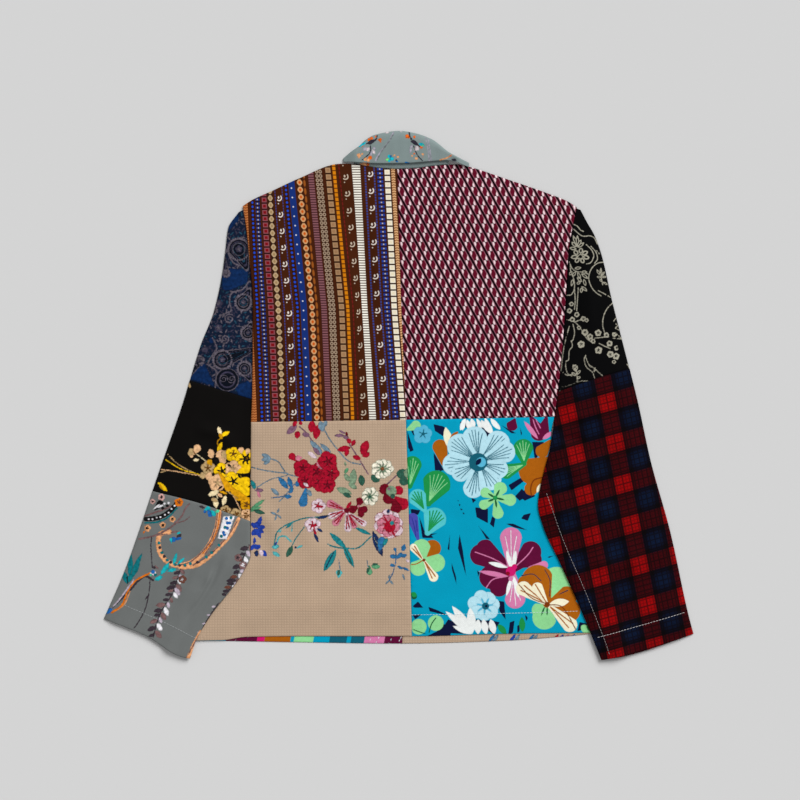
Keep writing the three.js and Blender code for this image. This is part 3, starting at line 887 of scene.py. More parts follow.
def stripe_paint(tree, x, y):
    """
    Narrow ornamental stripes, which lean to the left towards the shoulder, as they were cut. Those
    on the right lean more lower down, so that the two sets crowd together half-way up.
    """
    up, high = (y + 28).most(0), (y - 118).most(0)
    left = up * 0.0445 + high * ((x + 200) / 50).most(0).least(1) * 0.056
    right = up * 0.0788 - high * 0.0265
    lean = left + (right - left) * ((x + up * 0.063 + 47) / 10).most(0).least(1)
    first, last = STRIPE_SPAN
    across = tree.math("WRAP", x + lean, last, first)
    middles, halves, motifs, repeats, *shades = zip(*STRIPES)

    def numbers(values, scale):
        """A number for each stripe, as grey steps between 0 and the scale."""
        greys = [(*[value / scale] * 3, 1) for value in values]
        return tree.field(stripe_steps(tree, across, greys)) * scale

    middle = numbers([place - first for place in middles], last - first) + first
    half, repeat = numbers(halves, 10), numbers(repeats, 25)
    kinds = sorted(set(motifs))
    kind = numbers([kinds.index(motif) for motif in motifs], 10)
    dx, dy = across - middle, tree.math("WRAP", y, repeat / 2, repeat * -0.5)
    aside = dx.size() - half * 0.5
    shapes = {
        "dots": (oval(dx, dy, half * 0.62, half * 0.62), None),
        "squares": (box(dx, dy, half * 0.86, repeat * 0.38), box(dx, dy, half * 0.5, repeat * 0.22)),
        "beads": (bead(dx, dy, half, repeat * 0.42), bead(dx, dy, half * 0.45, repeat * 0.2)),
        "rings": (oval(aside, dy, half * 0.48, repeat * 0.44), oval(aside, dy, half * 0.2, repeat * 0.17)),
        "ladder": (box(dx, dy, half * 0.92, repeat * 0.3), None),
        "braid": (box(dx, dy + dx.fold(4).size() * 0.5, half, repeat * 0.27), None),
        "pins": (box(dx.size() - half * 0.55, dy, half * 0.3, 1.6), oval(dx, dy, 1.0, 1.0)),
        "chain": (oval(dx, dy, half, repeat * 0.42), None),
        "fleurs": (fleur(dx, dy), box(dx.size() - 6.2, y.fold(3.7), 1.0, 1.2)),
    }
    ground, colour, core = (stripe_steps(tree, across, map(linear, shade)) for shade in shades)
    in_band = (dx.size() - half).inside(0.3)
    painted = tree.colour_mix(in_band, STRIPE_GROUND, ground)
    for number, name in enumerate(kinds):
        chosen = ((kind - number).size() - 0.5).inside(0.1) * in_band
        for shape, shade in zip(shapes[name], (colour, core)):
            if shape is not None:
                painted = tree.colour_mix(chosen * shape.inside(0.35), painted, shade)
    return painted


def fleur(dx, dy):
    """A drop inside a curl that opens to the upper left, with a dot below."""
    drop = oval(dx + 0.6, dy - 0.4, 1.2, 1.7)
    ring = ((dx.power(2) + dy.power(2)).power(0.5) - 3.9).size() - 0.75
    return drop.least(ring.most((dy - dx) * 0.7)).least(oval(dx + 1.5, dy + 8.0, 0.8, 0.8))


BURGUNDY_REPEAT = 12.4                     # from one leaf to the next in its row
BURGUNDY_ROW = (-5.6, -12.36)              # from one row to the next, down to the left
BURGUNDY_LEAF = (55.2, 249.9)              # the middle of a leaf


def burgundy_paint(tree, x, y):
    """Leaves on a slanting lattice, between dark diagonals, with pale blobs and thin pink lines."""
    (row_x, row_y), (leaf_x, leaf_y) = BURGUNDY_ROW, BURGUNDY_LEAF
    row = tree.math("ROUND", (y - leaf_y) / row_y)
    dy = y - leaf_y - row * row_y
    dx = (x - leaf_x - row * row_x).fold(BURGUNDY_REPEAT)
    beside = (dx + dy * ((BURGUNDY_REPEAT + row_x) / -row_y)).fold(BURGUNDY_REPEAT).size()
    painted = tree.colour_mix((beside - 5.2).inside(0.4), "#0a0104", "#2a0610")
    for blob_x, blob_y in ((-4.1, 3.4), (4.1, -3.4)):
        off = (dx - blob_x + (dy - blob_y) * 0.25).fold(BURGUNDY_REPEAT)
        painted = tree.colour_mix(oval(off, dy - blob_y, 1.35, 3.9).inside(0.7), painted, "#f2d6da")
    leaf = (dx.size() / 3.3).power(1.35) + (dy.size() / 7.0).power(1.35) - 1
    painted = tree.colour_mix((leaf * 2.6).inside(0.5), painted, "#5e0720")
    outline = (beside - 3.9).size() - 0.3
    return tree.colour_mix(outline.inside(0.4) * 0.75, painted, "#c07c90")


PLAID_ALONG = (10.8, -54.8)                # one repeat of the check down the sleeve
PLAID_ACROSS = (53.0, 15.0)                # and one across it
PLAID_MIDDLE = (239, -79.5)                # the middle of a red square
PLAID_REPEAT = 54.8
PLAID_RED, PLAID_NAVY = 11.2, 9.0           # half widths of the red and the navy stripes
PLAID_CORD = 3.4                           # from one faint cord to the next
PLAID_LINES = (                            # distance from a red square's middle, half width
    (0, 0.9), (4.6, 0.25), (9.2, 0.6), (12.9, 1.3), (15.8, 0.9), (20.5, 0.9), (27.4, 0.9),
)


def plaid_paint(tree, x, y):
    """A red, navy and black check, whose two sets of stripes are alike and mix where they cross."""
    (ax, ay), (bx, by) = PLAID_ALONG, PLAID_ACROSS
    area = ax * by - ay * bx
    dx, dy = x - PLAID_MIDDLE[0], y - PLAID_MIDDLE[1]
    down = (dx * (by / area) - dy * (bx / area)) * PLAID_REPEAT
    across = (dy * (ax / area) - dx * (ay / area)) * PLAID_REPEAT
    red, navy, dark = [], [], tree.math("ADD", 0, 0)
    for value in (across, down):
        off = value.fold(PLAID_REPEAT).size()
        red.append((off - PLAID_RED).inside(0.9))
        navy.append((PLAID_REPEAT / 2 - off - PLAID_NAVY).inside(2.2))
        for place, half in PLAID_LINES:
            dark = dark.most(((off - place).size() - half).inside(0.7))
        cords = (value.fold(PLAID_CORD).size() - 0.5).inside(0.7)
        dark = dark.most(cords * (off - 11).inside(-0.5) * 0.5)
    painted = tree.colour_mix(navy[0].most(navy[1]) * 0.8, "#050204", "#070a20")
    painted = tree.colour_mix(red[0].most(red[1]) * 0.95, painted, "#3e0206")
    painted = tree.colour_mix(navy[0] * navy[1], painted, "#081630")
    painted = tree.colour_mix(red[0] * red[1], painted, "#8e0204")
    return tree.colour_mix(dark * 0.8, painted, "#060204")


# ---- Printed cloths: each ink is a distance on the cloth's vertices, below 0 where it is printed ----

PRINT_MARGIN = 3.0                         # distances are kept this far round a motif, in mm
UNDERLAP = 0.7                             # how far an ink goes on under one that is drawn over it


class Print:
    """The inks on one cloth, laid motif by motif, the later ones over the earlier ones."""

    def __init__(self, sheet, inks):
        self.sheet = sheet
        self.fields = {ink: np.full(len(sheet.x), PRINT_MARGIN) for ink in inks}

    def lay(self, ink, points, reach, distance_to):
        """Lays a motif that lies within reach of its points. distance_to(x, y) is its distance."""
        x, y = self.sheet.x, self.sheet.y
        reach += PRINT_MARGIN
        left, low = np.min(points, axis=0) - reach
        right, high = np.max(points, axis=0) + reach
        near = np.nonzero((x > left) & (x < right) & (y > low) & (y < high))[0]
        distance = np.clip(distance_to(x[near], y[near]), -PRINT_MARGIN, PRINT_MARGIN)
        drawn_after = False
        for other, field in self.fields.items():
            if other == ink:
                field[near] = np.minimum(field[near], distance)
                drawn_after = True
            else:
                field[near] = np.maximum(field[near], -distance - (0 if drawn_after else UNDERLAP))

    def disc(self, ink, x0, y0, radius):
        self.lay(ink, [(x0, y0)], radius, lambda x, y: np.hypot(x - x0, y - y0) - radius)

    def leaf(self, ink, x0, y0, x1, y1, width):
        """A leaf that is pointed at both its ends."""
        length, dx, dy = towards(x0, y0, x1, y1)
        radius = (length * length / 4 + width * width / 4) / width
        lift = radius - width / 2

        def distance_to(x, y):
            x, y = x - (x0 + x1) / 2, y - (y0 + y1) / 2
            first = np.hypot(x + dy * lift, y - dx * lift)
            second = np.hypot(x - dy * lift, y + dx * lift)
            return np.maximum(first, second) - radius

        self.lay(ink, [(x0, y0), (x1, y1)], width / 2, distance_to)

    def petal(self, ink, x0, y0, x1, y1, width):
        """A petal that starts narrow at its foot and has a broad round end."""
        length, dx, dy = towards(x0, y0, x1, y1)
        end = min(width / 2, length / 2)
        foot = 0.25 * end
        taper = (end - foot) / (length - end)

        def distance_to(x, y):
            along = (x - x0) * dx + (y - y0) * dy
            across = (x - x0) * dy - (y - y0) * dx
            t = np.clip(along, 0, length - end)
            return np.hypot(along - t, across) - (foot + taper * t)

        self.lay(ink, [(x0, y0), (x1, y1)], width / 2, distance_to)

    def line(self, ink, width, *numbers):
        """A drawn line, smoothed through its points."""
        path = smooth_path(pairs(numbers))

        def distance_to(x, y):
            pieces = [to_segment(x, y, *ends)[0] for ends in zip(path, path[1:])]
            return np.min(pieces, axis=0) - width / 2

        self.lay(ink, path, width / 2, distance_to)

    def shard(self, ink, *numbers):
        """A patch with straight sides, whose corners go round it."""
        corners = pairs(numbers)
        sides = list(zip(corners, corners[1:] + corners[:1]))

        def distance_to(x, y):
            nearest, turns = np.full_like(x, 1e3), np.zeros(len(x), int)
            for (ax, ay), (bx, by) in sides:
                nearest = np.minimum(nearest, to_segment(x, y, (ax, ay), (bx, by))[0])
                side = (x - ax) * (by - ay) - (y - ay) * (bx - ax)
                turns += (ay <= y) & (by > y) & (side < 0)
                turns -= (ay > y) & (by <= y) & (side > 0)
            return np.where(turns != 0, -nearest, nearest)

        self.lay(ink, corners, 0, distance_to)

    def veined(self, ink, vein, x0, y0, x1, y1, width, veins):
        """A petal with veins that fan out from its foot."""
        self.petal(ink, x0, y0, x1, y1, width)
        length, dx, dy = towards(x0, y0, x1, y1)
        for i in range(veins):
            share = ((i + 0.5) / veins - 0.5) * 0.8 * width
            bow, end = 0.55 * share, 0.93 - 0.5 * abs(share) / width
            middle = (x0 + dx * length * 0.5 - dy * bow, y0 + dy * length * 0.5 + dx * bow)
            tip = (x0 + dx * length * end - dy * share, y0 + dy * length * end + dx * share)
            self.line(vein, 1.4, x0 + 3 * dx, y0 + 3 * dy, *middle, *tip)

    def flower(self, ink, centre, x0, y0, radius, petals, turn):
        """A flower seen from the front: round petals, a small mark in each, and its centre."""
        width = 1.8 * radius * math.sin(math.pi / petals)
        for i in range(petals):
            tip = around(x0, y0, radius * (0.92 + 0.08 * math.cos(5 * i + turn)), i / petals, turn)
            if radius > 7:
                self.petal(centre, x0, y0, *tip, width + 1.2)
            self.petal(ink, x0, y0, *tip, width)
        for i in range(petals):
            mark = around(x0, y0, 0.55 * radius, i / petals, turn)
            self.leaf(centre, x0, y0, *mark, max(1.2, 0.13 * radius))
        self.disc(centre, x0, y0, 0.17 * radius)

    def open_leaf(self, ink, ground, x0, y0, x1, y1, width):
        """A leaf drawn as an outline."""
        self.leaf(ink, x0, y0, x1, y1, width)
        inner = [mix(a, b, t) for t in (0.2, 0.8) for a, b in ((x0, x1), (y0, y1))]
        self.leaf(ground, *inner, width * 0.45)

    def scroll(self, ink, x0, y0, radius, turn=0):
        """A curl that winds in to its middle, from so many radians on."""
        points = []
        for i in range(13):
            reach = radius * (1 - 0.85 * i / 12)
            points += around(x0, y0, reach, 1.6 * i / 12, math.degrees(turn))
        self.line(ink, 1.5, *points)

    def paisley(self, x0, y0, x1, y1, width):
        """A drop in nested outlines, with rings of beads round its middle."""
        _, dx, dy = towards(x0, y0, x1, y1)
        layers = (("tan", 0), ("night", 2.6), ("mauve", 5.5), ("night", 8.4), ("teal", 11), ("night", 14))
        for ink, shrink in layers:
            if width - shrink > 2:
                foot = (x0 + dx * shrink, y0 + dy * shrink)
                self.petal(ink, *foot, x1 - dx * shrink / 2, y1 - dy * shrink / 2, width - shrink)
        middle = (x1 - dx * width / 2, y1 - dy * width / 2)
        beads = int(width * 1.1)
        for i in range(beads):
            for reach, size in ((0.52, 1.5), (0.3, 0.9)):
                self.disc("tan", *around(*middle, reach * width, i / beads), size)
        self.flower("mauve", "tan", *middle, width * 0.2, 5, 20)

    def draw(self, table):
        """Lays a table of motifs. Each row has a kind with its inks, then each motif's numbers."""
        for row, *motifs in table:
            kind, *inks = row.split()
            for numbers in motifs:
                getattr(self, kind)(*inks, *numbers)

    def store(self):
        """Writes each ink's distance to the mesh."""
        for ink, field in self.fields.items():
            layer = self.sheet.piece.data.attributes.new(f"ink_{ink}", "FLOAT", "POINT")
            layer.data.foreach_set("value", field.astype(np.float32))


def around(x, y, radius, share, turn=0):
    """The place on a circle at a share of a whole turn, from so many degrees on."""
    angle = math.radians(turn + 360 * share)
    return x + radius * math.cos(angle), y + radius * math.sin(angle)


def pairs(numbers):
    """Points from a run of x and y values."""
    return list(zip(numbers[::2], numbers[1::2]))


def smooth_path(points, pieces=5):
    """Points along a smooth line through the given ones."""
    points = [np.array(p, float) for p in points]
    if len(points) == 2:
        return points
    ends = [2 * points[0] - points[1], *points, 2 * points[-1] - points[-2]]
    path = [points[0]]
    for before, start, end, after in zip(ends, ends[1:], ends[2:], ends[3:]):
        for i in range(1, pieces + 1):
            t = i / pieces
            path.append(0.5 * (2 * start + (end - before) * t
                               + (2 * before - 5 * start + 4 * end - after) * t * t
                               + (3 * start - before - 3 * end + after) * t ** 3))
    return path


def printed(ground, inks, brush=0.25, fray=0.5, thin=-0.15):
    """
    Paint for a cloth whose inks are on its mesh. ground is the name of its colour setting, brush
    is how uneven each ink lies, fray is how far its edges wander and thin is how far they draw in,
    both in millimetres.
    """

    def paint(tree, x, y):
        point = tree.point(x, y)
        strokes, wander = tree.noise(point, 0.25, 4.0), tree.noise(point, 0.45, 2.0) * fray * 3 + thin
        colour = (*getattr(bpy.context.scene.jacket, ground), 1)
        for ink, shade in inks.items():
            distance = tree.attribute(f"ink_{ink}") + wander
            rim = (distance.size() - 0.7).inside(0.5) * brush
            tint = tree.node("HueSaturation", {"Color": shade, "Value": strokes * brush * 5 + 1 - rim})
            colour = tree.colour_mix(distance.inside(0.35), colour, tint.outputs[0])
        return colour

    return paint


def print_on(sheet, inks, *tables):
    """Prints tables of motifs on a cloth piece, the later ones over the earlier ones."""
    layers = Print(sheet, inks)
    for table in tables:
        layers.draw(table)
    layers.store()


BOUQUET_INKS = {
    "slate": "#6f8797", "blue": "#2c6a9a", "teal": "#1f7f86", "aqua": "#58b8bc", "royal": "#2440a0",
    "navy": "#1c2e58", "violet": "#7d5a70", "lilac": "#d9c3cc", "pink": "#c8798c", "red": "#a50f2a",
    "crimson": "#6e0a1e", "cream": "#ece6d2", "sage": "#7b9478", "green": "#5a9a70",
    "forest": "#2f5a4a", "brown": "#7a4a2a",
}
TROPICAL_INKS = {
    "navy": "#0b1236", "teal": "#125c70", "sky": "#56b4d4", "pale": "#b4dfec", "aqua": "#52c2c8",
    "white": "#eef2f0", "cream": "#f2ecce", "lime": "#90d894", "moss": "#1c9048",
    "leafdark": "#155a34", "orange": "#a85c0c", "brown": "#7a3608", "plum": "#5c0a34",
    "rose": "#d47aa8", "magenta": "#d0186c", "crimson": "#8a0a24", "violet": "#4a4aa8",
    "royal": "#2c3490",
}

BOUQUET = [
    ("line slate", (1.5, -180, -84, -163, -89, -151, -105, -134, -110),
     (1.5, -198, -97, -176, -102, -151, -105), (1.2, -192, -125, -174, -114, -151, -108),
     (1.5, -102, -43, -93, -59, -80, -76, -67, -89, -51, -93)),
    ("leaf slate", (-172, -85, -185, -79, 6), (-172, -85, -185, -87, 6), (-173, -87, -182, -93, 5),
     (-161, -135, -172, -125, 5.5), (-164, -161, -173, -157, 3), (-164, -161, -167, -168, 2.5),
     (-164, -159, -161, -152, 2.5), (-163, -161, -158, -166, 2.5), (-91, -78, -106, -65, 6),
     (-109, -89, -102, -85, 4.5), (5, -240, 8, -249, 2.5)),
    ("leaf blue", (-149, -126, -162, -110, 7.5), (-144, -125, -149, -110, 6.5),
     (-138, -123, -133, -114, 6.5), (-147, -132, -143, -123, 6), (-154, -137, -144, -136, 5.5),
     (5, -210, 8, -201, 6), (3, -217, 11, -215, 5), (-2, -230, 6, -234, 3.5), (5, -232, 14, -236, 3.5)),
    ("line blue", (1.2, -171, -138, -154, -135, -140, -119),
     (1.2, -4, -206, -4, -221, -7, -237, -13, -250)),
    ("line slate", (1.2, -161, -143, -154, -136, -147, -128)),
    ("petal blue", (-125, -126, -130, -150, 12.5)),
    ("leaf slate", (-123, -127, -118, -136, 6), (-13, -250, -18, -254, 2.5), (-12, -249, -7, -255, 2.5),
     (-13, -248, -12, -241, 2.5)),
    ("leaf violet", (-194, -128, -182, -128, 5), (-137, -40, -151, -52, 8.5), (-130, -52, -120, -54, 6.5),
     (-87, -54, -73, -54, 4.5), (-75, -56, -67, -57, 5), (-81, -47, -71, -52, 2.5)),
    ("leaf pink", (-190, -129, -187, -138, 4)),
    ("leaf teal", (-199, -114, -192, -128, 6), (-84, -208, -101, -237, 10)),
    ("leaf green", (-201, -155, -180, -140, 5), (-201, -157, -185, -150, 4), (-73, -105, -68, -98, 4.5),
     (-37, -230, -25, -231, 6.5)),
    ("leaf forest", (-196, -155, -180, -159, 5.5), (-49, -122, -51, -107, 8.5), (-26, -116, -37, -108, 10),
     (13, -107, -3, -105, 13.5), (13, -118, 1, -114, 11), (-36, -228, -28, -227, 3)),
    ("leaf royal", (-191, -179, -185, -163, 6), (-191, -179, -180, -177, 6.5),
     (-191, -179, -199, -172, 6.5), (-191, -180, -182, -185, 6), (-192, -180, -198, -189, 6.5),
     (-192, -180, -186, -193, 5.5), (-193, -190, -195, -201, 4.5), (-194, -201, -200, -209, 5.5),
     (-194, -206, -186, -203, 6), (-185, -209, -178, -217, 6)),
    ("leaf navy", (-192, -208, -192, -218, 6)),
    ("leaf lilac", (-187, -208, -184, -217, 6), (-110, -85, -123, -76, 5.5), (10, -221, 14, -225, 3.5)),
    ("leaf red", (-142, -42, -138, -34, 5.5), (-131, -40, -133, -35, 4.5), (-136, -48, -137, -58, 7.5),
     (-116, -34, -118, -50, 10), (-112, -59, -109, -40, 10), (-50, -80, -42, -61, 11.5),
     (-49, -82, -39, -78, 7.5)),
    ("line violet", (1.5, -134, -42, -123, -52, -116, -62, -102, -78),
     (1.5, -71, -58, -61, -74, -51, -90, -41, -106), (1.5, -3, -108, -15, -119, -26, -128)),
    ("leaf slate", (-106, -35, -102, -49, 9), (-97, -34, -102, -43, 6), (-102, -80, -120, -60, 7.5)),
    ("leaf crimson", (-71, -49, -69, -56, 3)),
    ("leaf red", (-65, -70, -83, -74, 7.5), (-69, -71, -71, -82, 6.5), (-66, -65, -68, -58, 6),
     (-63, -68, -59, -60, 5.5), (-51, -86, -62, -82, 6.5)),
    ("leaf violet", (-106, -81, -115, -70, 5.5)),
    ("petal red", (-138, -88, -147, -79, 10)),
    ("petal pink", (-131, -84, -139, -85, 8)),
    ("flower red crimson", (-129, -98, 14, 5, 10), (-95, -89, 15, 5, 40), (-110, -103, 14, 5, 0),
     (-126, -115, 12.5, 5, 25), (-91, -105, 13, 5, 70), (-107, -117, 13.5, 5, 55), (-96, -121, 13, 5, 15)),
    ("leaf pink", (-106, -99, -111, -89, 3), (-102, -100, -109, -95, 2.5)),
    ("leaf lilac", (-121, -123, -129, -118, 4.5)),
    ("leaf sage", (-63, -123, -60, -99, 10), (-67, -116, -73, -105, 6), (-63, -133, -84, -125, 9),
     (-56, -126, -68, -118, 6.5), (-71, -96, -73, -89, 2.5), (10, -99, 13, -112, 9)),
    ("leaf forest", (-64, -137, -75, -132, 6)),
    ("flower cream sage", (-22, -99, 15.5, 9, 0), (-39, -136, 13, 8, 20)),
    ("disc forest", (-39, -137, 2)),
    ("disc brown", (-22, -99, 2.5)),
    ("petal crimson", (-9, -132, -25, -123, 15), (-9, -132, -18, -145, 15.5), (-55, -150, -67, -156, 11.5),
     (-55, -150, -51, -138, 10), (-53, -152, -42, -155, 10), (-54, -153, -49, -164, 9)),
    ("petal red", (-6, -132, 5, -125, 15), (-4, -138, 11, -152, 17.5)),
    ("petal crimson", (-6, -141, -2, -159, 15.5)),
    ("disc sage", (-10, -129, 7)),
    ("disc forest", (-8, -136, 3)),
    ("disc violet", (-13, -126, 2)),
    ("disc pink", (-54, -149, 2)),
    ("flower lilac red", (-13, -174, 22, 8, 10), (-116, -175, 12, 5, 20)),
    ("flower pink red", (-13, -175, 17.5, 8, 30)),
    ("disc red", (-12, -177, 7.5)),
    ("disc teal", (-9, -172, 3)),
    ("leaf red", (-12, -177, -21, -161, 2.5), (-12, -177, -4, -192, 2.5), (-116, -175, -109, -175, 3)),
    ("leaf navy", (-15, -159, -13, -153, 4.5), (-114, -185, -108, -198, 4), (-111, -179, -102, -184, 3.5)),
    ("veined pink red", (-73, -154, -97, -144, 11, 2)),
    ("veined lilac red", (-73, -155, -95, -164, 9.5, 2)),
    ("veined pink red", (-72, -156, -88, -175, 10, 2)),
    ("veined lilac red", (-70, -159, -68, -184, 10, 2)),
    ("veined pink red", (-68, -159, -58, -179, 8, 2)),
    ("veined lilac red", (-67, -159, -44, -175, 9, 2)),
    ("leaf red", (-71, -155, -64, -143, 4.5), (-115, -179, -111, -188, 3)),
    ("disc crimson", (-70, -155, 3.5)),
    ("flower lilac red", (-109, -149, 11, 5, 0)),
    ("leaf red", (-109, -150, -101, -150, 3)),
    ("line teal", (1.5, -93, -162, -109, -164, -129, -166, -152, -175, -164, -185, -168, -203),
     (1.2, -127, -177, -138, -192, -144, -203),
     (1.5, -93, -202, -84, -205, -71, -206, -54, -205, -37, -190), (1.2, -96, -200, -89, -203, -80, -205)),
    ("leaf navy", (-111, -166, -93, -162, 4)),
    ("line aqua", (2, -164, -198, -161, -191, -153, -190, -145, -197), (1.2, -143, -171, -144, -183)),
    ("leaf teal", (-152, -179, -142, -170, 3.5), (-70, -207, -93, -185, 7.5), (-75, -201, -60, -232, 7.5),
     (-37, -188, -59, -178, 5)),
    ("leaf aqua", (-161, -185, -158, -181, 2), (-171, -205, -161, -203, 6), (-170, -211, -160, -217, 5.5),
     (-138, -206, -129, -202, 3)),
    ("leaf royal", (-167, -203, -164, -197, 2)),
    ("leaf forest", (-151, -218, -143, -203, 7)),
    ("disc navy", (-139, -205, 1.5)),
    ("line forest", (1.2, -72, -208, -63, -227)),
    ("line navy", (1.2, -88, -212, -98, -232)),
    ("leaf navy", (-35, -183, -22, -217, 10)),
    ("line teal", (1.2, -33, -192, -25, -211)),
    ("petal blue", (-26, -209, -21, -191, 12.5)),
    ("leaf teal", (-21, -203, -15, -192, 5)),
    ("petal aqua", (-81, -245, -80, -235, 9)),
    ("leaf forest", (-82, -243, -80, -235, 4)),
    ("line slate", (1.2, -79, -235, -81, -221)),
    ("petal green", (-40, -230, -39, -242, 8)),
    ("leaf forest", (-40, -230, -43, -240, 3.5)),
    ("line slate", (1.2, -41, -232, -43, -222)),
    ("leaf blue", (-3, -218, -12, -216, 6), (-4, -210, -6, -205, 3.5), (-3, -220, 5, -212, 5.5),
     (-5, -230, -12, -228, 4)),
]

